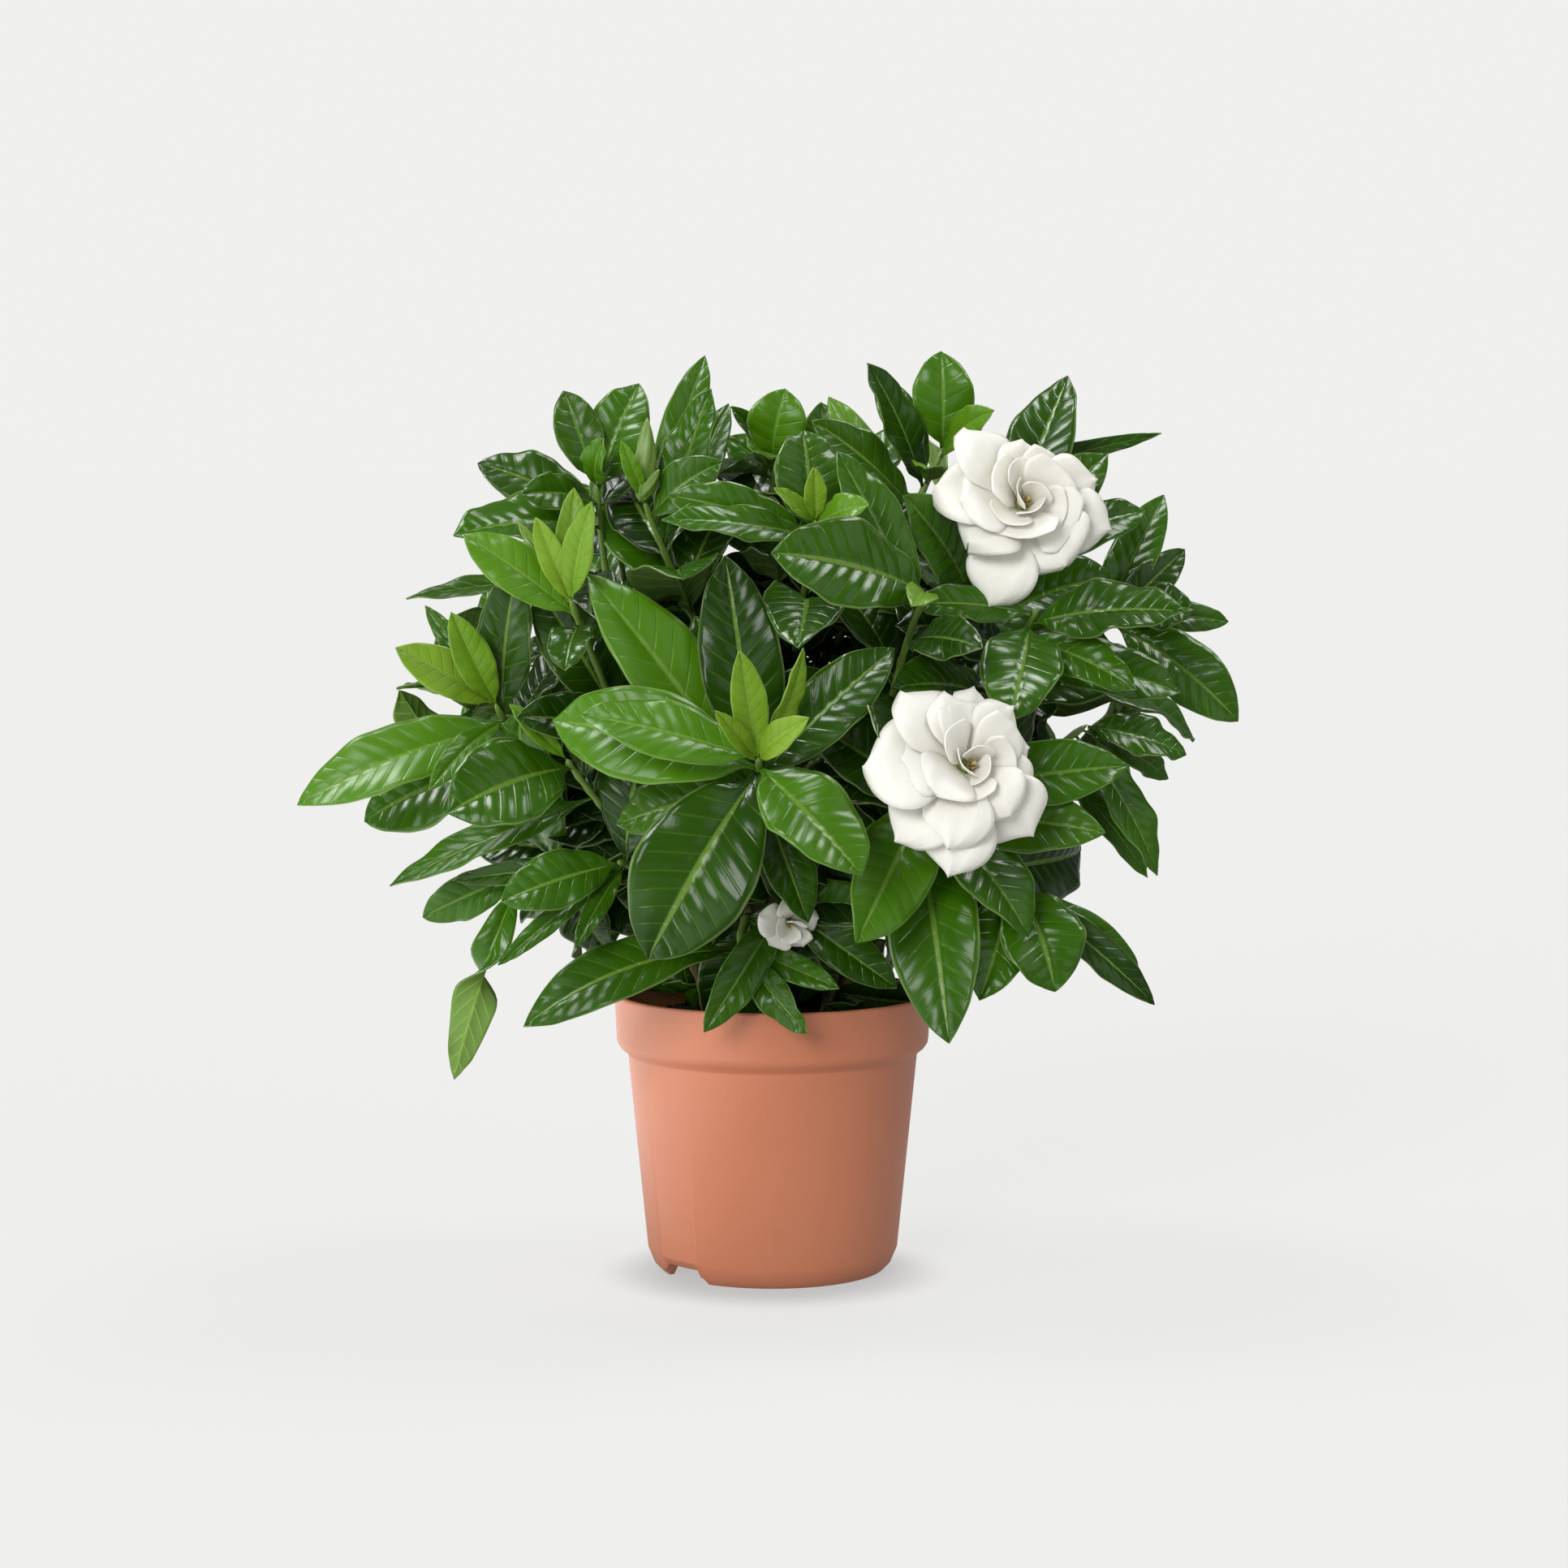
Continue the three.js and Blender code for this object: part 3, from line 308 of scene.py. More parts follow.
# The floor throws more light back on the window's side. It has a painted shadow, darkest round the
# front of the pot's foot, and less so out to a reach in metres.
FLOOR = {
    "half": 40,
    "colour": (0.13, 0.13, 0.129),
    "seen_glow": 0.712,
    "glow": 0.3,
    "bright_side": 1.25,
    "painted_shadow": 0.34,
    "forward": 0.012,
    "foot": 0.042,
    "reach": 0.076,
    "lit_from": -0.04,
    "lit_to": -0.22,
}
STUDIO = {"low": 0.1, "low_at": -0.2, "high": 0.26, "seen": 0.87, "colour": (1, 1, 0.985)}
# Each soft lamp: the way to it, its strength, how wide it looks in degrees and whether it is for
# gloss alone.
LAMPS = {
    "key": ((-0.38, -0.84, 0.4), 0.6, 26, False),
    "fill": ((0.75, -0.6, 0.3), 0.22, 50, False),
    "overhead_left": ((-0.4, 0.2, 0.88), 0.36, 22, False),
    "overhead_right": ((0.45, 0.3, 0.85), 0.33, 22, False),
    "window": ((-0.97, -0.06, 0.1), 0.34, 34, False),
    "left_gloss": ((-0.5, -0.1, 0.85), 1.1, 24, True),
    "right_gloss": ((0.4, -0.05, 0.9), 0.65, 22, True),
}
CAMERA = {"lens": 90, "sensor": 36, "place": (4.7, -1600, 340), "pitch": 5, "sees_to": 200}

# ---------------------------------------------------------------- the plant's layout

# Main stems: where each leaves the soil (x, y) and its head (x, y, z), which branches grow from.
STEMS = [
  [[1, -24], [-1, -36, 160]],
  [[22, -14], [40, -32, 168]],
  [[25, 9], [58, 8, 180]],
  [[12, 26], [30, 50, 178]],
  [[-14, 24], [-32, 48, 178]],
  [[-27, 2], [-56, 0, 172]],
  [[-19, -18], [-38, -36, 160]],
  [[0, 2], [2, 6, 215]],
]

# Shoots: name, main stem, base, bend and tip of the green stem, then its placed leaves, each as
# [place along the stem, tip x, tip y, tip z, width, arch, roll in degrees, youth from 0 to 1].
SHOOTS = [
  ["shoot_front", 0, [-3, -52, 182], [-5, -80, 205], [-5, -126, 221], [
    [0.92, -84, -98, 233, 37, 8, 0, 0.45],
    [1.00, -72, -122, 237, 24, 5, 0, 0.45],
    [0.85, -47, -122, 144, 47, 9, 0, 0.05],
    [0.94, 34, -142, 178, 33, 6, 0, 0.4],
    [0.98, 14, -154, 238, 12, 4, 0, 0.95],
    [0.98, -12, -138, 262, 14, 3, 0, 0.8],
    [0.95, 12, -118, 262, 12, 3, 50, 0.8],
    [0.97, -21, -145, 240, 8, 2, 0, 0.9],
    [0.60, -60, -88, 192, 26, 5, 0, 0.3],
    [0.55, -18, -88, 296, 32, 5, 0, 0.1],
    [0.45, -71, -92, 289, 36, 6, 0, 0.5],
    [0.70, 47, -100, 261, 26, 5, 0, 0.15],
    [0.50, 14, -100, 155, 20, 4, 0, 0.2],
  ]],
  ["shoot_front_bloom", 1, [48, -46, 180], [62, -75, 206], [71, -106, 214], [
    [0.45, 32, -128, 151, 33, 6, 0, 0.4],
    [0.30, 68, -112, 110, 36, 8, 0, 0.2],
    [0.35, 129, -90, 189, 28, 5, 0, 0.35],
    [0.60, 139, -78, 214, 27, 5, 0, 0.1],
    [0.50, 15, -90, 231, 27, 5, 0, 0.1],
  ]],
  ["shoot_upper_bloom", 2, [66, -6, 215], [88, -30, 301], [95, -57, 311], [
    [0.80, 119, -12, 366, 28, 5, 0, 0.05],
    [0.75, 127, -25, 339, 25, 4, 0, 0.05],
    [0.55, 51, -80, 319, 30, 5, 0, 0.05],
    [0.80, 150, -16, 312, 24, 4, 0, 0.1],
  ]],
  ["shoot_right", 2, [78, -12, 205], [90, -35, 240], [104, -70, 276], [
    [0.90, 160, -80, 274, 27, 6, 0, 0.1],
    [0.95, 64, -98, 287, 16, 4, 0, 0.1],
    [0.80, 141, -85, 244, 19, 5, 0, 0.1],
    [0.70, 161, -55, 241, 24, 5, 0, 0.1],
    [0.90, 91, -105, 233, 32, 5, 0, 0.1],
  ]],
  ["shoot_crown_right", 7, [24, -2, 255], [52, -2, 300], [70, -6, 338], [
    [1.00, 68, -8, 376, 25, 4, 0, 0.35],
    [0.80, 38, -25, 371, 18, 4, 0, 0.05],
    [0.85, 43, 15, 366, 16, 3, 0, 0.2],
    [0.95, 88, -35, 352, 16, 3, 0, 0.6],
    [0.70, 16, -20, 348, 20, 4, 0, 0.3],
    [0.85, 61, -45, 329, 14, 3, 0, 0.6],
    [0.60, 23, 20, 358, 16, 3, 0, 0.6],
    [0.75, 158, 0, 343, 9, 3, 0, 0.2],
  ]],
  ["shoot_centre", 7, [8, -18, 245], [14, -50, 290], [17, -88, 310], [
    [0.90, 12, -70, 344, 28, 5, 0, 0.25],
    [1.00, 16, -98, 330, 9, 2, 0, 0.85],
    [0.95, 37, -105, 316, 14, 3, 0, 0.6],
    [1.00, 1, -98, 322, 7, 2, 0, 0.8],
    [0.85, -40, -80, 319, 20, 5, 0, 0.1],
    [0.90, -42, -97, 310, 16, 4, 0, 0.2],
  ]],
  ["shoot_centre_right", 1, [42, -42, 205], [48, -62, 255], [60, -92, 283], [
    [1.00, 0, -118, 298, 36, 6, 0, 0.05],
    [0.85, 25, -85, 336, 23, 5, 0, 0.1],
    [1.00, 53, -122, 278, 13, 3, 0, 0.7],
    [0.70, 80, -118, 262, 20, 4, 0, 0.15],
  ]],
  ["shoot_left_cluster", 6, [-48, -45, 200], [-66, -66, 245], [-78, -96, 281], [
    [1.00, -76, -90, 322, 12, 3, 0, 0.8],
    [1.00, -68, -112, 317, 13, 3, 0, 0.75],
    [0.97, -90, -102, 311, 11, 3, 0, 0.85],
    [0.90, -118, -95, 304, 20, 4, 0, 0.55],
    [0.90, -37, -100, 316, 23, 5, 0, 0.2],
    [0.95, -98, -86, 309, 6, 2, 0, 0.8],
    [0.85, -76, -112, 253, 18, 4, 0, 0.15],
    [0.35, -95, -80, 280, 26, 5, 0, 0.1],
    [0.30, -99, -90, 238, 22, 5, 0, 0.1],
  ]],
  ["shoot_upper_left", 5, [-58, -5, 225], [-68, -8, 280], [-71, -20, 325], [
    [1.00, -84, -15, 360, 19, 3, 0, 0.3],
    [0.95, -54, -10, 363, 25, 4, 0, 0.3],
    [1.00, -67, -36, 341, 14, 3, 0, 0.4],
    [0.80, -130, -40, 304, 30, 6, 0, 0.1],
    [0.90, -99, -50, 319, 18, 3, 0, 0.2],
    [0.85, -119, -10, 331, 25, 4, 0, 0.2],
    [0.60, -147, -25, 277, 13, 3, 0, 0.3],
  ]],
  ["shoot_bud", 7, [-18, -12, 240], [-40, -30, 285], [-51, -50, 318], [
    [1.00, -59, -60, 340, 7, 2, 0, 0.6],
    [0.90, -19, -70, 332, 19, 4, 0, 0.15],
    [0.85, -27, -20, 374, 17, 3, 0, 0.3],
    [0.75, -29, -37, 362, 22, 4, 0, 0.05],
    [0.70, -18, 10, 355, 16, 3, 0, 0.3],
  ]],
  ["shoot_crown", 7, [4, 4, 260], [2, 4, 300], [-1, 0, 334], [
    [1.00, 5, -5, 361, 24, 4, 0, 0.5],
    [0.95, -2, 22, 356, 18, 3, 0, 0.3],
    [0.95, -8, -40, 336, 18, 3, 0, 0.3],
  ]],
  ["shoot_left", 5, [-76, -18, 195], [-98, -40, 212], [-109, -65, 238], [
    [1.00, -146, -80, 260, 18, 4, 0, 0.85],
    [1.00, -124, -85, 274, 15, 3, 0, 0.7],
    [0.95, -137, -50, 275, 10, 3, 0, 0.2],
    [0.95, -99, -75, 290, 25, 5, 0, 0.2],
    [0.80, -186, -70, 198, 28, 8, 0, 0.5],
    [0.85, -132, -95, 206, 12, 4, 0, 0.4],
  ]],
  ["shoot_left_low", 6, [-58, -52, 185], [-70, -66, 200], [-80, -82, 217], [
    [0.90, -124, -105, 198, 37, 6, 0, 0.1],
    [1.00, -96, -92, 241, 8, 2, 0, 0.6],
    [0.50, -150, -70, 166, 16, 4, 0, 0.2],
  ]],
  ["shoot_lower_left", 6, [-50, -46, 168], [-56, -60, 174], [-60, -78, 176], [
    [0.90, -126, -60, 167, 10, 4, 0, 0.2],
    [0.95, -105, -88, 162, 23, 5, 0, 0.2],
    [0.90, -107, -80, 136, 9, 3, 0, 0.2],
    [0.80, -76, -97, 145, 9, 3, 0, 0.1],
  ]],
  ["shoot_left_droop", 5, [-78, -10, 172], [-92, -35, 174], [-100, -62, 168], [
    [1.00, -125, -75, 90, 18, 7, 0, 0.2],
    [0.80, -140, -40, 150, 18, 4, 0, 0.2],
  ]],
  ["shoot_right_far", 2, [92, 6, 215], [118, 0, 250], [142, -22, 272], [
    [1.00, 169, -30, 273, 20, 3, 0, 0.1],
    [0.95, 185, -10, 267, 13, 3, 0, 0.1],
    [0.90, 187, -30, 228, 26, 6, 0, 0.1],
    [0.85, 168, 0, 296, 16, 3, 0, 0.2],
    [0.75, 160, 8, 318, 20, 3, 0, 0.2],
  ]],
  ["shoot_right_low", 1, [68, -42, 186], [100, -50, 210], [126, -44, 228], [
    [1.00, 165, -40, 215, 20, 4, 0, 0.1],
    [0.90, 153, -50, 168, 20, 6, 0, 0.1],
    [0.70, 151, -30, 165, 13, 4, 0, 0.1],
    [0.95, 160, -20, 204, 14, 3, 0, 0.1],
  ]],
  ["shoot_lower_right", 1, [64, -50, 172], [82, -64, 172], [100, -72, 164], [
    [1.00, 146, -50, 129, 15, 4, 0, 0.2],
    [0.95, 144, -62, 112, 15, 4, 0, 0.1],
    [0.80, 80, -100, 125, 25, 5, 0, 0.05],
    [0.90, 110, -90, 127, 34, 6, 0, 0.05],
  ]],
  ["shoot_low_bloom", 0, [4, -50, 160], [5, -60, 158], [6, -68, 154], [
    [0.60, -31, -92, 120, 17, 4, 0, 0.1],
    [0.70, 38, -88, 122, 18, 4, 0, 0.1],
    [0.50, 36, -84, 152, 20, 4, 0, 0.1],
  ]],
  ["shoot_bottom", 0, [-10, -46, 152], [-14, -54, 144], [-12, -64, 136], [
    [0.95, 14, -92, 122, 15, 3, 0, 0.1],
    [0.80, -97, -82, 112, 25, 13, 42, 0.15],
    [0.70, 22, -85, 124, 12, 3, 0, 0.2],
  ]],
  ["shoot_back_right", 3, [52, 58, 210], [70, 72, 250], [82, 80, 288], []],
  ["shoot_back", 3, [24, 62, 215], [20, 80, 255], [12, 88, 286], []],
  ["shoot_back_left", 4, [-46, 60, 210], [-62, 74, 248], [-74, 80, 284], []],
  ["shoot_back_far_right", 3, [66, 58, 192], [96, 68, 208], [118, 70, 230], []],
  ["shoot_back_far_left", 4, [-62, 56, 190], [-92, 68, 206], [-114, 68, 230], []],
  ["shoot_back_middle", 4, [-8, 60, 196], [-14, 72, 206], [-20, 84, 216], []],
  ["shoot_back_low_right", 3, [42, 60, 168], [56, 72, 162], [70, 84, 152], []],
  ["shoot_back_low_left", 4, [-40, 60, 164], [-54, 72, 158], [-66, 84, 148], []],
  ["shoot_side_right", 2, [82, 22, 180], [104, 32, 186], [122, 40, 190], []],
  ["shoot_side_left", 5, [-80, 16, 180], [-102, 28, 186], [-118, 38, 190], []],
  ["shoot_top_back", 7, [10, 28, 245], [18, 42, 282], [24, 50, 312], [
    [1.00, 20, 44, 356, 24, 4, 0, 0.3],
    [0.95, 62, 44, 344, 26, 5, 0, 0.1],
    [0.90, -14, 42, 347, 26, 5, 0, 0.1],
    [0.80, -17, 16, 354, 22, 4, 0, 0.2],
    [0.70, -2, 24, 322, 28, 6, 0, 0.05],
    [0.60, 60, 30, 312, 28, 6, 0, 0.05],
    [0.50, 30, 100, 300, 32, 6, 0, 0.1],
  ]],
  ["shoot_top_left", 4, [-44, 40, 220], [-58, 42, 264], [-66, 40, 300], [
    [1.00, -62, 34, 345, 24, 4, 0, 0.3],
    [0.95, -104, 34, 326, 26, 5, 0, 0.1],
    [0.90, -32, 30, 340, 26, 5, 0, 0.1],
    [0.70, -22, 14, 314, 28, 6, 0, 0.05],
    [0.60, -122, 30, 280, 30, 6, 0, 0.1],
    [0.50, -84, 100, 290, 32, 6, 0, 0.1],
  ]],
]

# Whorls added by rule along every shoot: place, leaves, length, width, tilt from the stem, youth.
# The bush is bare below its skirt, which rises outwards from a height at the middle.
SKIRT = [95, 0.5]
WHORLS = [
  [0.4, 2, 70, 34, 76, 0.05],
]
BACK_WHORLS = [
  [0.12, 2, 74, 36, 92, 0.05],
  [0.50, 2, 80, 38, 76, 0.1],
  [0.80, 2, 76, 35, 64, 0.15],
  [0.96, 2, 58, 26, 40, 0.3],
]
END_TIPS = [1, 1, 26, 9, 14, 0.85]
# How far the leaves of a whorl differ: steps along the shoot, turns in radians, tilts and rolls in
# degrees, the least size and arch with their ranges, and the turn between whorls.
DIFFER = {
    "step": 0.05,
    "turn": 0.5,
    "tilt": 16,
    "roll": 20,
    "size": [0.85, 0.3],
    "arch": [0.06, 0.1],
    "next": 0.3,
}

# Blooms: name, shoot, size and petals from the outside in, each as
# [turn, length, width, rise at its root and at its tip in degrees, height up the tube].
BLOOMS = [
  ["bloom_front", "shoot_front_bloom", 1, [
    [130, 40, 27, 46, -20, 5],
    [178, 43, 34, 44, -24, 5],
    [222, 41, 26, 42, -28, 5],
    [256, 44, 26, 40, -30, 5],
    [312, 38, 27, 42, -26, 5],
    [340, 28, 22, 46, -16, 5.5],
    [14, 26, 24, 50, -8, 6],
    [48, 31, 22, 48, -14, 5.5],
    [78, 32, 20, 50, -12, 5.5],
    [106, 31, 22, 50, -8, 6.5],
    [248, 37, 24, 54, -18, 8],
    [165, 31, 28, 60, 0, 8.5],
    [300, 27, 24, 58, 5, 8.5],
    [352, 24, 22, 62, 12, 9],
    [40, 24, 22, 64, 20, 9],
    [98, 24, 24, 66, 26, 9],
    [205, 25, 24, 62, 14, 9],
    [130, 19, 19, 74, 46, 10],
    [250, 18, 20, 74, 48, 10],
    [10, 18, 19, 74, 46, 10.5],
    [70, 13, 13, 76, 68, 12],
    [190, 13, 13, 76, 68, 12],
    [310, 13, 13, 76, 68, 12],
  ]],
  ["bloom_upper", "shoot_upper_bloom", 1, [
    [248, 41, 25, 26, -28, 4],
    [166, 35, 29, 30, -6, 5],
    [126, 38, 26, 36, 0, 5.5],
    [86, 26, 24, 50, 16, 6],
    [50, 24, 22, 48, 16, 6],
    [16, 32, 25, 40, 4, 5.5],
    [342, 36, 23, 34, -2, 5],
    [292, 29, 32, 40, 4, 6],
    [212, 30, 27, 44, 6, 6],
    [188, 27, 27, 56, 26, 8],
    [106, 24, 25, 62, 34, 8.5],
    [146, 22, 23, 66, 40, 9],
    [34, 22, 24, 64, 36, 9],
    [318, 22, 27, 62, 30, 9],
    [256, 21, 26, 66, 34, 9],
    [100, 18, 18, 74, 50, 10.5],
    [220, 17, 18, 74, 50, 10.5],
    [340, 17, 18, 74, 50, 10.5],
    [40, 13, 13, 76, 68, 12],
    [160, 13, 13, 76, 68, 12],
    [280, 13, 13, 76, 68, 12],
  ]],
  ["bloom_low", "shoot_low_bloom", 0.42, [
    [15, 30, 28, 54, -10, 6],
    [85, 30, 28, 54, -10, 6],
    [160, 32, 30, 52, -14, 6],
    [230, 30, 28, 54, -10, 6],
    [300, 30, 28, 54, -10, 6],
    [45, 21, 21, 72, 40, 9],
    [165, 21, 21, 72, 40, 9],
    [285, 21, 21, 72, 40, 9],
  ]],
]
TUBE = {"radius": 3.4, "length": 12, "mouth": 0.25}
CENTRE = {
    "anthers": 8,
    "length": 7,
    "radius": 0.45,
    "foot": 0.6,
    "ring": 0.9,
    "curl": 0.8,
    "differ": (0.1, 3),
    "style": 9,
    "style_radius": 0.55,
    "style_end": 0.5,
}

# Pointed flower buds: shoot, length, radius, lean.
BUDS = [
  ["shoot_bud", 34, 4.4, [0.06, 0, 1]],
  ["shoot_bud", 18, 2.6, [0.5, -0.6, 0.8]],
  ["shoot_back", 26, 3.6, [0, 0.2, 1]],
]

# Bends tried in turn until a leaf is clear: [raise, swing] in degrees.
BENDS = [
  [0, 0], [4, 0], [-4, 0], [0, 5], [0, -5], [6, 6], [6, -6], [-6, 6], [-6, -6], [9, 0], [-9, 0],
  [0, 10], [0, -10], [12, 9], [12, -9], [-12, 9], [-12, -9], [16, 0], [-16, 0], [0, 17], [0, -17],
  [20, 14], [20, -14], [-20, 14], [-20, -14], [26, 0], [-26, 0], [0, 26], [0, -26],
]

# ---------------------------------------------------------------- curves and seeded draws


class Curve:
    """A Bezier curve over its control points, measured along its length."""

    SAMPLES = 200

    def __init__(self, *controls):
        self.controls = [Vector(point) for point in controls]
        places = [self.at(i / self.SAMPLES) for i in range(self.SAMPLES + 1)]
        self.lengths = [0.0]
        for before, after in zip(places, places[1:]):
            self.lengths.append(self.lengths[-1] + (after - before).length)
        self.length = self.lengths[-1]

    def pair(self, t):
        """The last two points of the curve's construction at t, whose mix is the curve's point."""
        points = self.controls
        while len(points) > 2:
            points = [a.lerp(b, t) for a, b in zip(points, points[1:])]
        return points

    def at(self, t):
        start, end = self.pair(t)
        return start.lerp(end, t)

    def moment(self, share):
        """The t that lies this share of the way along the curve's length."""
        target = share * self.length
        i = min(bisect_right(self.lengths, target), self.SAMPLES) - 1
        step = self.lengths[i + 1] - self.lengths[i]
        return (i + (target - self.lengths[i]) / step) / self.SAMPLES

    def point(self, share):
        return self.at(self.moment(share))

    def tangent(self, share):
        start, end = self.pair(self.moment(share))
        return (end - start).normalized()


def draws(seed):
    """Numbers from 0 to 1 in a fixed order for each seed."""
    state = seed
    while True:
        state = (state * 1664525 + 1013904223) % 2**32
        yield state / 2**32


def within(span, draw):
    """The next seeded value of a span, which is its least value and its range."""
    least, reach = span
    return least + reach * next(draw)


def turned(vector, axis, degrees):
    return Matrix.Rotation(math.radians(degrees), 3, axis) @ vector


def across(direction, axis):
    """What is left of a direction once its part along an axis is taken away."""
    return direction - axis * direction.dot(axis)


def through(points, t):
    """A smooth curve through (t, value) points, read at t."""
    i = min(max(bisect_right([place for place, _ in points], t), 1), len(points) - 1)
    (t0, v0), (t1, v1) = points[i - 1], points[i]
    before = points[max(i - 2, 0)]
    after = points[min(i + 1, len(points) - 1)]
    slope0 = (v1 - before[1]) / (t1 - before[0])
    slope1 = (after[1] - v0) / (after[0] - t0)
    x = (t - t0) / (t1 - t0)
    span = t1 - t0
    return (
        v0 * (1 + 2 * x) * (1 - x) ** 2 + v1 * x * x * (3 - 2 * x)
        + span * (slope0 * x * (1 - x) ** 2 - slope1 * x * x * (1 - x))
    )


# ---------------------------------------------------------------- meshes


def add_sheet(bm, rows, columns, place):
    """A grid of faces put where place(u, v) says, with u and v, each 0 to 1, as its UV map."""
    bm.loops.layers.uv.verify()
    grid = bmesh.ops.create_grid(bm, x_segments=rows, y_segments=columns, size=0.5, calc_uvs=True)
    for vert in grid["verts"]:
        vert.co = place(vert.co.x + 0.5, vert.co.y + 0.5)
    return grid["verts"]


def add_tube(bm, kind, centre, radius):
    """A grid rolled round the curve centre(u) at radius(u), closed where the radius is nothing."""
    rows, sides = GRIDS[kind]
    step = 0.5 / rows
    axes = {}

    def frame(u):
        if u not in axes:
            axis = (centre(min(u + step, 1)) - centre(max(u - step, 0))).normalized()
            right = axis.cross(TUBE_REFERENCE).normalized()
            axes[u] = (right, axis.cross(right))
        return axes[u]

    def place(u, v):
        right, up = frame(u)
        angle = -2 * math.pi * v
        return centre(u) + (right * math.cos(angle) + up * math.sin(angle)) * radius(u)

    verts = add_sheet(bm, rows, sides, place)
    bmesh.ops.remove_doubles(bm, verts=verts, dist=WELD)


def finish_piece(bm, name, node, materials, thickness=0):
    """The finished piece at the origin, in metres, riding on the plant's one body."""
    bmesh.ops.scale(bm, vec=(MM, MM, MM), verts=bm.verts)
    mesh = bpy.data.meshes.new(name)
    bm.to_mesh(mesh)
    bm.free()
    mesh.polygons.foreach_set("use_smooth", [True] * len(mesh.polygons))
    for material in materials:
        mesh.materials.append(material)
    piece = bpy.data.objects.new(name, mesh)
    bpy.context.scene.collection.objects.link(piece)
    if thickness:
        shell = piece.modifiers.new("shell", "SOLIDIFY")
        shell.thickness = thickness * MM
        shell.offset = 0
        shell.material_offset = len(materials) - 1
    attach(piece, "root")
    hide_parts(node)
    return piece


# ---------------------------------------------------------------- where each leaf grows

Leaf = namedtuple("Leaf", "root tip facing width arch roll youth phase")
Frame = namedtuple("Frame", "chord normal side length")


def stem_point(curve, at):
    """A point on a green stem, whose straight stretches meet evenly spaced along its curve."""
    stretch = min(int(at * SHOOT["steps"]), SHOOT["steps"] - 1)
    start = curve.point(stretch / SHOOT["steps"])
    end = curve.point((stretch + 1) / SHOOT["steps"])
    return start.lerp(end, at * SHOOT["steps"] - stretch)


def leaf_root(curve, at, tip):
    """A leaf's root: on its stem, off the middle towards the side that the leaf leaves from."""
    place = min(at, SHOOT["last_leaf"])
    root = stem_point(curve, place)
    away = across(tip - root, curve.tangent(place)).normalized()
    return root + away * (SHOOT["radius"] - BLADE["root_sunk"])


def leaf_facing(shoot):
    """The way a leaf's upper face looks: along its shoot, out of the bush and up."""
    _, _, _, bend, tip, _ = shoot
    axis = (Vector(tip) - Vector(bend)).normalized()
    outward = (Vector(tip) - HEART).normalized()
    up = Vector((0, 0, FACING["up"]))
    return (axis * FACING["axis"] + outward * FACING["outward"] + up).normalized()


def placed_leaves(shoot, index):
    curve = Curve(*shoot[2:5])
    facing = (leaf_facing(shoot) * FACING["placed"] + FRONT).normalized()
    spacing = SHOOT["internode"] / curve.length
    highest = 1
    leaves = []
    from_the_top = sorted(shoot[5], key=lambda row: -row[0])
    for i, (wanted, x, y, z, width, arch, roll, youth) in enumerate(from_the_top):
        at = min(wanted, highest)
        highest = at - spacing
        tip = Vector((x, y, z))
        root = leaf_root(curve, at, tip)
        phase = index + WAVE_STEP * i
        leaves.append(Leaf(root, tip, facing, width, arch, roll, youth, phase))
    return leaves


def ruled_leaves(shoot, index):
    """Whorls of leaves round a shoot, each turned from the one below, with seeded differences."""
    curve = Curve(*shoot[2:5])
    facing = leaf_facing(shoot)
    draw = draws(SEEDS["whorls"] * (index + 1))
    bare = not shoot[5] and all(bloom[1] != shoot[0] for bloom in BLOOMS)
    leaves = []
    turn = 360 * next(draw)
    for at, count, length, width, tilt, youth in [*BACK_WHORLS, END_TIPS] if bare else WHORLS:
        axis = curve.tangent(at)
        start = UP.cross(axis).normalized()
        for i in range(count):
            place = at + DIFFER["step"] * i / count
            angle = turn + 360 * i / count + math.degrees(DIFFER["turn"] * (next(draw) - 0.5))
            lean = math.radians(tilt + DIFFER["tilt"] * (next(draw) - 0.5))
            size = within(DIFFER["size"], draw)
            way = axis * math.cos(lean) + turned(start, axis, angle) * math.sin(lean)
            tip = stem_point(curve, min(place, SHOOT["last_leaf"])) + way * length * size
            root = leaf_root(curve, place, tip)
            arch = length * within(DIFFER["arch"], draw)
            roll = DIFFER["roll"] * (next(draw) - 0.5)
            phase = WAVE_STARTS * next(draw)
            leaf = Leaf(root, tip, facing, width * size, arch, roll, youth, phase)
            if tip.z > SKIRT[0] + SKIRT[1] * tip.xy.length:
                leaves.append(leaf)
        turn += 180 / count + math.degrees(DIFFER["next"])
    return leaves


def inside_bush(tip):
    """Whether an inner leaf's tip lies inside the egg-shaped heart of the bush."""
    out = tip - Vector(INNER["middle"])
    return sum((part / radius) ** 2 for part, radius in zip(out, INNER["radii"])) < 1


def over_soil(tip):
    """Whether a low leaf's tip stays clear of the soil and the rim."""
    return tip.z > LOW["above"] and tip.xy.length < LOW["reach"]


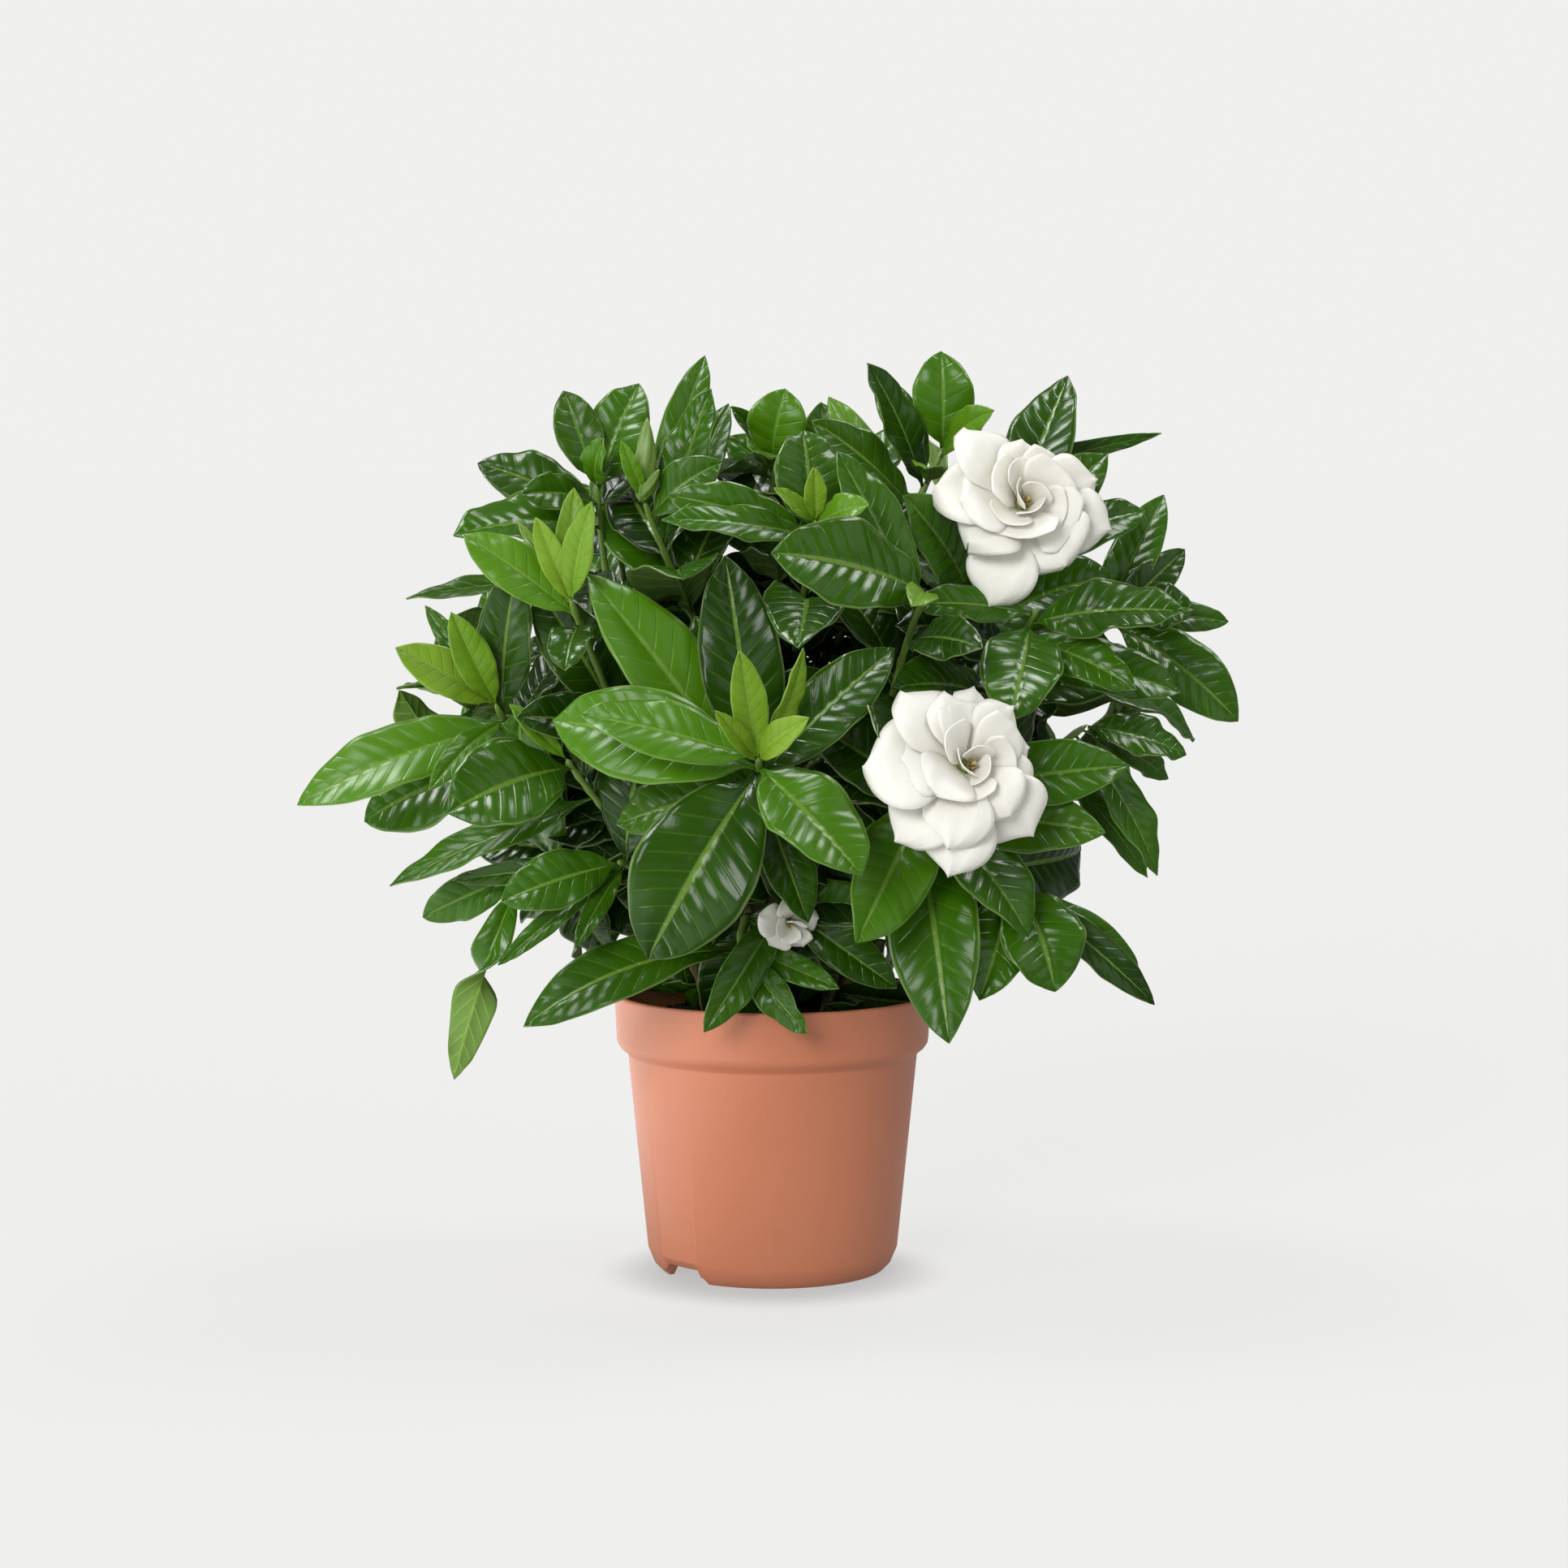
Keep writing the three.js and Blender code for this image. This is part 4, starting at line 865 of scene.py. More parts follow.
def inner_leaves(curve, shares, seed, kind=INNER, keeps=inside_bush):
    """Leaves in pairs along a stem, of which those with a tip in the right place are kept; the
    callers colour the inner ones dark as painted shade.
    """
    draw = draws(seed)
    leaves = []
    turn = 360 * next(draw)
    for share in shares:
        axis = curve.tangent(share)
        start = UP.cross(axis).normalized()
        for side in range(INNER["pair"]):
            angle = turn + 360 * side / INNER["pair"] + STRAY["turn"] * (next(draw) - 0.5)
            lean = math.radians(kind["tilt"] + STRAY["tilt"] * (next(draw) - 0.5))
            size = within(STRAY["size"], draw)
            way = axis * math.cos(lean) + turned(start, axis, angle) * math.sin(lean)
            root = curve.point(share)
            tip = root + way * kind["length"] * size
            outward = (tip - HEART).normalized()
            facing = (outward + UP * STRAY["up"] + FRONT * STRAY["front"]).normalized()
            arch = within(STRAY["arch"], draw)
            roll = STRAY["roll"] * (next(draw) - 0.5)
            width = kind["width"] * size
            wave = WAVE_STARTS * next(draw)
            leaf = Leaf(root, tip, facing, width, arch, roll, STRAY["youth"], wave)
            if keeps(tip):
                leaves.append(leaf)
        turn += within(STRAY["next"], draw)
    return leaves


def leaf_frame(leaf, lift, swing):
    """A leaf bent by a lift and a swing in degrees: its chord, normal, side and length."""
    chord = leaf.tip - leaf.root
    length = chord.length
    chord.normalize()
    normal = turned(across(leaf.facing, chord).normalized(), chord, leaf.roll)
    side = chord.cross(normal)
    chord = turned(chord, side, lift)
    normal = turned(normal, side, lift)
    chord = turned(chord, normal, swing)
    return Frame(chord, normal, chord.cross(normal), length)


def corner_tree(node):
    """The corners of a CAD node, in millimetres, to be searched by place."""
    corners = frame["nodes"][node].data.vertices
    tree = KDTree(len(corners))
    for i, corner in enumerate(corners):
        tree.insert(corner.co / MM, i)
    tree.balance()
    return tree


def is_corner(tree, point):
    return tree.find(point)[2] < TIP_TOLERANCE


def grown_leaves(shoot, index):
    """A shoot's leaves with the bend that each took to stay clear, found by the solid's tips."""
    tree = corner_tree(shoot[0])
    grown = []
    for leaf in placed_leaves(shoot, index) + ruled_leaves(shoot, index):
        for lift, swing in BENDS:
            bent = leaf_frame(leaf, lift, swing)
            if is_corner(tree, leaf.root + bent.chord * bent.length):
                grown.append((leaf, bent))
                break
    return grown


# ---------------------------------------------------------------- leaves


def leaf_spine(leaf, bent, t):
    """The place of a leaf's midrib at t and the way up from it."""
    rise = leaf.arch * 4 * t * (1 - t)
    slope = leaf.arch * 4 * (1 - 2 * t) / bent.length
    forward = (bent.chord + bent.normal * slope).normalized()
    centre = leaf.root + bent.chord * (bent.length * t) + bent.normal * rise
    return centre, bent.side.cross(forward)


def vein_count(length):
    """Side veins on each side of a blade: more on a longer one."""
    return next(count for least, count in BLADE["veins"] if length > least)


def add_blade(bm, leaf, bent, shade, twist=0):
    """A leaf blade: folded along its midrib, waved at its edges and quilted between its veins."""
    veins = vein_count(bent.length)
    crisp = 1 - BLADE["youth_smooths"] * leaf.youth
    depth = BLADE["vein_depth"] * min(1, leaf.width / BLADE["vein_width"]) * crisp

    def place(u, v):
        across_blade = 1 - 2 * v
        lag, half_vein = (BLADE["edge_lag"], 0.5) if across_blade < 0 else (0, 0)
        far = abs(across_blade)
        s = far * far * (3 - 2 * far)
        t = u + BLADE["vein_skew"] * s * math.sin(math.pi * u)
        half = through(BLADE["outline"], t) * leaf.width / 2
        centre, up = leaf_spine(leaf, bent, t)
        side = bent.side
        if twist:
            wound = twist * through(BLADE["winding"], t)
            side = turned(side, bent.chord, wound)
            up = turned(up, bent.chord, wound)
        turn = 2 * math.pi * BLADE["waves"] * t + leaf.phase + lag
        wave = BLADE["wave"] * crisp * min(1, half / BLADE["wave_width"]) * math.sin(turn)
        crimp = BLADE["crimp"] * crisp * math.sin(BLADE["crimp_rate"] * turn + 1)
        rise = BLADE["fold_rise"]
        fold = BLADE["fold"] * half * (rise * s - (rise - 1) * s**3)
        off_vein = 2 * ((u * veins + half_vein) % 1) - 1
        off_rib = min(1, s / BLADE["rib"])
        pillow = (1 - off_vein**2) * off_rib * (1 - s**3) * math.sin(math.pi * u) ** 0.5
        lift = fold + wave * s * s + crimp * s**4 + depth * pillow - BLADE["groove"] * (1 - off_rib)
        return centre + side * (math.copysign(s, across_blade) * half) + up * lift

    looks = {"youth": leaf.youth, "shade": shade, "veins": veins}
    verts = add_sheet(bm, BLADE["rows_per_vein"] * veins, BLADE["columns"], place)
    for name, value in looks.items():
        layer = bm.verts.layers.float.get(name)
        for vert in verts:
            vert[layer] = value


def add_petiole(bm, leaf, bent):
    """The leaf's stalk, which runs on under the blade as its midrib."""
    full = min(1, leaf.width / PETIOLE["leaf_width"])

    def centre(u):
        place, up = leaf_spine(leaf, bent, PETIOLE["end"] * u)
        return place - up * BLADE["groove"] * (1 + PETIOLE["drop"] * full)

    def radius(u):
        if not 0 < u < 1:
            return 0
        return PETIOLE["least"] + PETIOLE["swell"] * full * (1 - u) ** PETIOLE["taper"]

    add_tube(bm, "petiole", centre, radius)


def leaf_mesh():
    """An empty mesh that keeps each leaf's youth, shade and number of veins for its finish."""
    bm = bmesh.new()
    for name in ("youth", "shade", "veins"):
        bm.verts.layers.float.new(name)
    return bm


def finish_leaves(blades, name, node, finishes):
    if blades.verts:
        both_faces = [finishes["leaf"], finishes["leaf_underside"]]
        finish_piece(blades, name, node, both_faces, BLADE["thickness"])


def stem_radius(radius, taper, knots):
    """A stem's radius along it: it tapers, swells at its knots and is closed at both ends."""
    def at(u):
        swell = sum(size * math.sin(rate * u + lead) for size, rate, lead in knots)
        return radius * (taper[0] - taper[1] * u + swell) if 0 < u < 1 else 0
    return at


def leaves_and_stem(shoot, index, finishes):
    """One piece for a shoot's leaves and one for its green stem with their stalks."""
    name = shoot[0]
    draw = draws(SEEDS["looks"] * (index + 1))
    blades = leaf_mesh()
    stem = bmesh.new()
    for order, (leaf, bent) in enumerate(grown_leaves(shoot, index)):
        twist = TWISTED.get((name, order), BLADE["twist"] * (next(draw) - 0.5))
        add_blade(blades, leaf, bent, within(TONE_AND_PAINTED_SHADE["outer"], draw), twist)
        add_petiole(stem, leaf, bent)
    curve = Curve(*shoot[2:5])
    for leaf in inner_leaves(curve, INNER["shoot_shares"], SEEDS["shoot_inner"] * (index + 1)):
        # Inner leaves take a dark tone: painted shade inside the bush.
        add_blade(blades, leaf, leaf_frame(leaf, 0, 0), within(TONE_AND_PAINTED_SHADE["inner"], draw))
    joints = (SHOOT["joint"], 2 * math.pi * curve.length / SHOOT["joint_spacing"], 0)
    add_tube(stem, "shoot", lambda u: curve.point(SHOOT["start"] + SHOOT["reach"] * u),
             stem_radius(SHOOT["radius"], SHOOT["taper"], [joints]))
    for bud in BUDS:
        if bud[0] == name:
            add_bud(stem, bud, shoot)
    finish_piece(stem, f"{name}_stem", name, [finishes["green_stem"]])
    finish_leaves(blades, f"{name}_leaves", name, finishes)


def add_bud(bm, bud, shoot):
    """A pointed flower bud, wound round with the ridges of its sepals."""
    _, length, radius, lean = bud
    way = Vector(lean).normalized()
    start = Vector(shoot[4]) - way * BUD["sunk"]
    right = way.cross(TUBE_REFERENCE).normalized()
    front = way.cross(right)

    def place(u, v):
        wound = 2 * math.pi * v + BUD["winding"] * u
        ridge = 1 + BUD["ridge"] * math.cos(BUD["ridges"] * wound)
        angle = -2 * math.pi * v
        out = right * math.cos(angle) + front * math.sin(angle)
        return start + way * (length * u) + out * (radius * through(BUD["outline"], u) * ridge)

    verts = add_sheet(bm, BUD["rows"], BUD["columns"], place)
    bmesh.ops.remove_doubles(bm, verts=verts, dist=WELD)


# ---------------------------------------------------------------- woody stems


def trunk_curve(stem):
    """A trunk leans only above the soil, from its neck up."""
    (x, y), head = stem
    neck = Vector((x, y, SOIL["top"] + SOIL["crown"] + STEM["neck"]))
    knee = neck + Vector((0, 0, STEM["knee"]))
    end = Vector(head)
    return Curve(neck, knee, knee.lerp(end, 0.5), end)


def main_stem(index, finishes):
    """A trunk with a branch to the base of each of its shoots, swollen a little at the joints."""
    name = f"main_stem_{index + 1}"
    bm = bmesh.new()
    trunk = trunk_curve(STEMS[index])
    foot = trunk.controls[0] - Vector((0, 0, SOIL["crown"] + STEM["neck"] + STEM["buried"]))
    rise = trunk.controls[0].z - foot.z
    share = rise / (rise + trunk.length)

    def trunk_place(u):
        if u < share:
            return foot + Vector((0, 0, rise * u / share))
        return trunk.point((u - share) / (1 - share))

    broad, fine = STEM["knots"]
    knots = [(*broad, index), (*fine, 0)]
    add_tube(bm, "trunk", trunk_place, stem_radius(STEM["radius"], STEM["taper"], knots))
    shoots = [shoot for shoot in SHOOTS if shoot[1] == index]
    draw = draws(SEEDS["trunk_looks"] * (index + 1))
    blades = leaf_mesh()
    low_seed = SEEDS["trunk_low"] * (index + 1)
    for leaf in inner_leaves(trunk, LOW["shares"], low_seed, LOW, over_soil):
        add_blade(blades, leaf, leaf_frame(leaf, 0, 0), within(TONE_AND_PAINTED_SHADE["low"], draw))
    radius = stem_radius(STEM["branch_radius"], STEM["branch_taper"], [(*STEM["branch_knot"], 0)])
    for i, shoot in enumerate(shoots):
        start = trunk.point(STEM["highest_branch"] - STEM["branch_spread"] * i / len(shoots))
        base = Vector(shoot[2])
        back = (base - Vector(shoot[3])).normalized() * STEM["branch_lead"] * (base - start).length
        branch = Curve(start, base + back, base)
        add_tube(bm, "branch", branch.point, radius)
        seed = SEEDS["branch_inner"] * (index + 1) + i
        for leaf in inner_leaves(branch, INNER["branch_shares"], seed):
            # Inner leaves take a dark tone: painted shade inside the bush.
            add_blade(blades, leaf, leaf_frame(leaf, 0, 0), within(TONE_AND_PAINTED_SHADE["inner"], draw))
    finish_piece(bm, f"{name}_bark", name, [finishes["bark"]])
    finish_leaves(blades, f"{name}_inner_leaves", name, finishes)


# ---------------------------------------------------------------- blooms


def bloom_frame(bloom):
    """A bloom's seat on its shoot, its axis and the way that its petals' turns start from."""
    shoot = next(entry for entry in SHOOTS if entry[0] == bloom[1])
    tip = Vector(shoot[4])
    axis = (tip - Vector(shoot[3])).normalized()
    return tip + axis * GAP, axis, UP.cross(axis).normalized()


def petal_spine(bloom, petal, shift):
    """A petal's middle line as (place, forward) pairs, and the way out from the bloom's axis."""
    seat, axis, start = bloom_frame(bloom)
    size = bloom[2]
    lift, swing = shift
    turn, length, _, root_rise, tip_rise, height = petal
    radial = turned(start, axis, turn + swing)
    place = seat + axis * (height * size) + radial * (PETAL["root_radius"] * size)
    spine = []
    for i in range(PETAL["steps"] + 1):
        rise = math.radians(root_rise + lift + (tip_rise - root_rise) * i / PETAL["steps"])
        forward = radial * math.cos(rise) + axis * math.sin(rise)
        spine.append((place.copy(), forward))
        place += forward * (length * size / PETAL["steps"])
    return spine, radial, axis


def add_petal(bm, bloom, petal, spine, radial, axis):
    """A petal: broad and pointed with rolled edges, or cupped where it is short and inside."""
    size = bloom[2]
    turn, length, width, _, _, _ = petal
    span = PETAL["outside_length"] - PETAL["inside_length"]
    outer = min(1, max(0, (length - PETAL["inside_length"]) / span))
    phase = math.radians(turn)
    outline = PETAL["outline"] if outer > 0.5 else PETAL["inner_outline"]
    widest = width * size / 2 * (PETAL["spread"] if outer > 0.5 else 1)
    ruffle_height, ruffle_rate, ruffle_turn, ruffle_lag = PETAL["ruffle"]
    fold_height, fold_rate, fold_turn, fold_fade = PETAL["fold"]
    end_roll, corner_roll = PETAL["end_roll"]

    def place(u, v):
        s = 1 - 2 * v
        t = u * (1 - PETAL["rounding"] * s * s * (1 - outer))
        along = t * PETAL["steps"]
        i = min(int(along), PETAL["steps"] - 1)
        middle = spine[i][0].lerp(spine[i + 1][0], along - i)
        forward = spine[i][1].lerp(spine[i + 1][1], along - i).normalized()
        side = turned(radial.cross(axis), forward, PETAL["roll"])
        up = side.cross(forward)
        half = through(outline, t) * widest
        edge = max(0, abs(s) - PETAL["edge"]) / (1 - PETAL["edge"])
        end = max(0, t - PETAL["end"]) / (1 - PETAL["end"])
        cup = (PETAL["cup"][0] - PETAL["cup"][1] * outer) * half * s * s
        bulge = PETAL["bulge"] * math.sin(math.pi * t) * (1 - s * s)
        rolled = PETAL["edge_roll"] * edge**2 * t + (end_roll + corner_roll * abs(s)) * end**2
        lag = ruffle_lag if s < 0 else 0
        ruffle = edge * t * ruffle_height * math.sin(ruffle_rate * t + ruffle_turn * phase + lag)
        fold = fold_height * t * math.sin(fold_rate * s + fold_turn * phase) * (1 - fold_fade * t)
        raised = cup + size * outer * (bulge - rolled + ruffle + fold)
        return middle + side * (s * half) + up * raised

    add_sheet(bm, PETAL["rows"], PETAL["columns"], place)


def bloom_pieces(bloom, finishes):
    """A bloom's petals, each where its solid found room, its green tube and its stamens."""
    name, _, size, petals = bloom
    node = f"{name}_petals"
    seat, axis, _ = bloom_frame(bloom)
    tree = corner_tree(node)
    bm = bmesh.new()
    for petal in petals:
        for shift in PETAL["shifts"]:
            spine, radial, way = petal_spine(bloom, petal, shift)
            if is_corner(tree, spine[-1][0]):
                add_petal(bm, bloom, petal, spine, radial, way)
                break
    finish_piece(bm, f"{name}_white_petals", node, [finishes["petal"]], PETAL["thickness"])
    tube = bmesh.new()
    mouth = TUBE["mouth"]
    add_tube(tube, "calyx", lambda u: seat + axis * (TUBE["length"] * size * u),
             lambda u: TUBE["radius"] * size * (1 - mouth + mouth * u) if 0 < u < 1 else 0)
    finish_piece(tube, f"{name}_calyx", node, [finishes["green_stem"]])
    centre_piece(bloom, finishes)


def centre_piece(bloom, finishes):
    """The stamens: slim curved anthers round a style with a swollen end."""
    name, _, size, _ = bloom
    seat, axis, start = bloom_frame(bloom)
    base = seat + axis * (TUBE["length"] * size + GAP)
    bm = bmesh.new()
    style = CENTRE["style"] * size
    slim, swollen = CENTRE["style_radius"], CENTRE["style_end"]
    add_tube(bm, "style", lambda u: base + axis * (style * u),
             lambda u: size * (slim + swollen * u**4) if 0 < u < 1 else 0)
    foot = CENTRE["foot"]
    share, rate = CENTRE["differ"]
    for i in range(CENTRE["anthers"]):
        radial = turned(start, axis, 360 * i / CENTRE["anthers"])
        length = CENTRE["length"] * size * (1 - share + share * math.cos(rate * i))

        def centre(u):
            out = CENTRE["ring"] + CENTRE["curl"] * u * u
            return base + axis * (foot + (length - foot) * u) + radial * (size * out)

        add_tube(bm, "anther", centre,
                 lambda u: CENTRE["radius"] * size * math.sin(math.pi * u) ** 0.5)
    finish_piece(bm, f"{name}_anthers", f"{name}_stamens", [finishes["stamen"]])


# ---------------------------------------------------------------- pot and soil


def notch_lift(point):
    """How high the foot ring is cut away at a point."""
    lift = 0
    for angle in NOTCH["angles"]:
        middle = math.radians(angle - 90)
        turn = (math.atan2(point.y, point.x) - middle + math.pi) % (2 * math.pi) - math.pi
        along = turn * POT["foot_radius"]
        left = (along + NOTCH["length"] / 2) / NOTCH["slope"]
        right = (NOTCH["length"] / 2 - along) / (NOTCH["slope"] / 2)
        lift = max(lift, NOTCH["height"] * min(1, left, right))
    return lift


def spun(profile, segments):
    """A profile of (radius, height) points turned once round the pot's axis."""
    bm = bmesh.new()
    verts = [bm.verts.new((radius, 0, height)) for radius, height in profile]
    edges = [bm.edges.new(pair) for pair in zip(verts, verts[1:])]
    bmesh.ops.spin(bm, geom=verts + edges, cent=(0, 0, 0), axis=(0, 0, 1), angle=2 * math.pi,
                   steps=segments, use_merge=True)
    bmesh.ops.remove_doubles(bm, verts=bm.verts, dist=WELD)
    bmesh.ops.recalc_face_normals(bm, faces=bm.faces)
    return bm


def pot_piece(finishes):
    """The pot: its wall undercuts the collar, and its foot ring is notched."""
    rim, wall, lip = POT["rim_radius"], POT["wall"], POT["lip"]
    floor = POT["floor_top"]
    inner = POT["wall_bottom_radius"] - wall
    bm = spun([
        (0, floor - wall),
        (POT["foot_radius"] - POT["foot_wall"] - 1, floor - wall),
        (POT["foot_radius"] - POT["foot_wall"], 0),
        (POT["foot_radius"], 0),
        (POT["foot_radius"] + 3, 3),
        (POT["wall_bottom_radius"], POT["wall_bottom"]),
        (POT["shoulder_radius"], POT["shoulder"] - 0.6),
        (POT["shoulder_radius"] + 1, POT["shoulder"] + 0.7),
        (POT["collar_bottom_radius"] - 1.4, POT["collar_bottom"] - 2.4),
        (POT["collar_bottom_radius"] - 0.2, POT["collar_bottom"] - 0.6),
        (POT["collar_bottom_radius"] + 0.05, POT["collar_bottom"] + 1.2),
        (rim - 0.2, POT["height"] - 2 * lip),
        (rim, POT["height"] - 1.5 * lip),
        (rim, POT["height"] - 0.6 * lip),
        (rim - 0.5 * lip, POT["height"]),
        (rim - wall, POT["height"]),
        (rim - wall - 0.6, POT["height"] - 2 * lip),
        (POT["collar_bottom_radius"] - wall - 0.6, POT["collar_bottom"] + 1),
        (POT["shoulder_radius"] - wall, POT["shoulder"] - 1),
        (inner, floor + 2),
        (inner - 2, floor),
        (0, floor),
    ], POT["segments"])
    for vert in bm.verts:
        if vert.co.xy.length > POT["foot_radius"] - POT["foot_wall"] - 2:
            vert.co.z = max(vert.co.z, notch_lift(vert.co))
    piece = finish_piece(bm, "nursery_pot", "pot", [finishes["pot"]])
    edge = piece.modifiers.new("soft_edges", "BEVEL")
    edge.width = POT["edge_width"] * MM
    edge.segments = POT["edge_segments"]
    edge.limit_method = "ANGLE"
    edge.angle_limit = math.radians(POT["edge_angle"])


def soil_piece(finishes):
    """Potting soil, crowned and crumbly on top, with loose crumbs lying in it."""
    edge = POT["collar_bottom_radius"] - POT["wall"] - 0.6 - 2 * GAP
    wall = POT["wall"] + GAP
    rings = SOIL["rings"]
    profile = [
        (0, POT["floor_top"] + GAP),
        (POT["wall_bottom_radius"] - wall - 2, POT["floor_top"] + GAP),
        (POT["wall_bottom_radius"] - wall, POT["floor_top"] + 2),
        (POT["shoulder_radius"] - wall, POT["shoulder"] - 1),
        (edge, POT["collar_bottom"] + 1.5),
    ]
    for i in range(rings + 1):
        share = 1 - i / rings
        profile.append((edge * share, SOIL["top"] + SOIL["crown"] * (1 - share * share)))
    bm = spun(profile, SOIL["segments"])
    for vert in bm.verts:
        if vert.co.z > SOIL["top"] - GAP:
            rough = noise.fractal(vert.co / SOIL["grain"], *SOIL["fractal"])
            vert.co.z += SOIL["roughness"] * rough
    draw = draws(SEEDS["crumbs"])
    for _ in range(CRUMBS["count"]):
        radius = (edge - CRUMBS["margin"]) * math.sqrt(next(draw))
        angle = 2 * math.pi * next(draw)
        size = within(CRUMBS["size"], draw)
        height = SOIL["top"] + SOIL["crown"] * (1 - (radius / edge) ** 2) + CRUMBS["lift"]
        place = Matrix.Translation((radius * math.cos(angle), radius * math.sin(angle), height))
        tilt = Matrix.Rotation(6 * next(draw), 4, Vector((next(draw), next(draw), 1)))
        breadth = size * (1 + next(draw)) / 2
        shape = Matrix.Diagonal((size, breadth, size * CRUMBS["flatness"], 1))
        bmesh.ops.create_icosphere(bm, subdivisions=1, radius=1, matrix=place @ tilt @ shape)
    finish_piece(bm, "crumbly_soil", "potting_soil", [finishes["soil"]])


# ---------------------------------------------------------------- finishes


class Finish:
    """A Principled material and short ways to add and join its nodes."""

    def __init__(self, name, **settings):
        self.material = bpy.data.materials.new(name)
        self.material.use_nodes = True
        self.tree = self.material.node_tree
        self.shader = self.tree.nodes["Principled BSDF"]
        for socket, value in settings.items():
            self.shader.inputs[SOCKETS[socket]].default_value = value

    def node(self, kind, inputs=None, **settings):
        made = self.tree.nodes.new(kind)
        for setting, value in settings.items():
            setattr(made, setting, value)
        for socket, value in (inputs or {}).items():
            self.feed(made.inputs[socket], value)
        return made

    def feed(self, socket, value):
        if isinstance(value, bpy.types.NodeSocket):
            self.tree.links.new(value, socket)
        else:
            socket.default_value = value

    def math(self, operation, first, second=0.0):
        return self.node("ShaderNodeMath", {0: first, 1: second}, operation=operation).outputs[0]

    def plus(self, first, second):
        return self.math("ADD", first, second)

    def minus(self, first, second):
        return self.math("SUBTRACT", first, second)

    def times(self, first, second):
        return self.math("MULTIPLY", first, second)

    def between(self, value, low, high):
        """0 where the value is at low and 1 where it is at high, with a smooth change."""
        ends = {"Value": value, "From Min": low, "From Max": high}
        made = self.node("ShaderNodeMapRange", ends, interpolation_type="SMOOTHSTEP")
        return made.outputs["Result"]

    def mix(self, share, first, second):
        made = self.node("ShaderNodeMix", data_type="RGBA")
        self.feed(made.inputs["Factor"], share)
        self.feed(made.inputs[6], first)
        self.feed(made.inputs[7], second)
        return made.outputs[2]

    def noise(self, scale, detail=2.0, where=None, roughness=0.5):
        place = where or self.place()
        kind = {"Vector": place, "Scale": scale, "Detail": detail, "Roughness": roughness}
        return self.node("ShaderNodeTexNoise", kind).outputs["Fac"]

    def place(self):
        return self.node("ShaderNodeTexCoord").outputs["Object"]

    def along_height(self, share):
        """The place with its height shortened, which draws a pattern out up the piece."""
        drawn_out = {"Vector": self.place(), "Scale": (1, 1, share)}
        return self.node("ShaderNodeMapping", drawn_out).outputs[0]

    def attribute(self, name):
        return self.node("ShaderNodeAttribute", attribute_name=name).outputs["Fac"]

    def uv(self):
        place = self.node("ShaderNodeUVMap")
        split = self.node("ShaderNodeSeparateXYZ", {0: place.outputs[0]})
        return split.outputs[0], split.outputs[1]

    def colour(self, value):
        self.surface("Base Color", value)

    def relief(self, height, distance, strength):
        raised = {"Height": height, "Distance": distance, "Strength": strength}
        self.surface("Normal", self.node("ShaderNodeBump", raised).outputs[0])

    def surface(self, socket, value):
        self.feed(self.shader.inputs[socket], value)


SOCKETS = {
    "roughness": "Roughness",
    "subsurface": "Subsurface Weight",
    "subsurface_radius": "Subsurface Radius",
    "subsurface_scale": "Subsurface Scale",
    "specular": "Specular IOR Level",
    "sheen": "Sheen Weight",
}


def leaf_pattern(finish):
    """How near a point is to the midrib, the side veins and the margin, each from 0 to 1."""
    along, over = finish.uv()
    offset = finish.minus(over, 0.5)
    far = finish.times(finish.math("ABSOLUTE", offset), 2.0)
    other_side = finish.times(finish.math("GREATER_THAN", offset, 0.0), 0.5)
    phase = finish.plus(finish.times(along, finish.attribute("veins")), other_side)
    half_on = finish.math("FRACT", finish.plus(phase, 0.5))
    off_vein = finish.math("ABSOLUTE", finish.minus(half_on, 0.5))
    midrib = finish.between(far, *MARKS["midrib"])
    inside = finish.between(far, *MARKS["vein_end"])
    vein = finish.times(finish.between(off_vein, *MARKS["vein"]), inside)
    margin = finish.between(far, *MARKS["margin"])
    return midrib, vein, margin


def leaf_finish():
    """Glossy green that differs from leaf to leaf, is darker on inner leaves as painted shade, and
    is lighter and yellower on a young one, partly as painted light shining through it.
    """
    finish = Finish("glossy_leaf", specular=0.22)
    midrib, vein, margin = leaf_pattern(finish)
    youth = finish.attribute("youth")
    shade = finish.attribute("shade")
    # A leaf's lightness: its tone, darkened on inner leaves as painted shade, with random blotches.
    depth = finish.plus(finish.times(shade, 0.6), finish.times(finish.noise(28, 3), 0.5))
    old = finish.mix(finish.between(depth, 0.2, 0.85), LEAF_COLOURS["dark"], LEAF_COLOURS["mid"])
    # Young leaves are lighter and yellower: partly their own colour, partly painted light shining
    # through them.
    youngest = finish.between(youth, 0.45, 0.95)
    young = finish.mix(youngest, LEAF_COLOURS["fresh"], LEAF_COLOURS["young"])
    blade = finish.mix(finish.between(youth, 0.15, 0.6), old, young)
    for name, mark in (("vein", vein), ("midrib", midrib), ("margin", margin)):
        blade = finish.mix(finish.times(mark, MARK_STRENGTH[name]), blade, LEAF_COLOURS[name])
    finish.colour(blade)
    net = finish.times(finish.noise(700, 2), 0.25)
    finish.relief(finish.minus(net, vein), 0.00025, 0.55)
    gloss = finish.plus(finish.times(finish.noise(60, 3), 0.1), 0.15)
    finish.surface("Roughness", finish.plus(finish.times(youth, 0.2), gloss))
    return finish.material


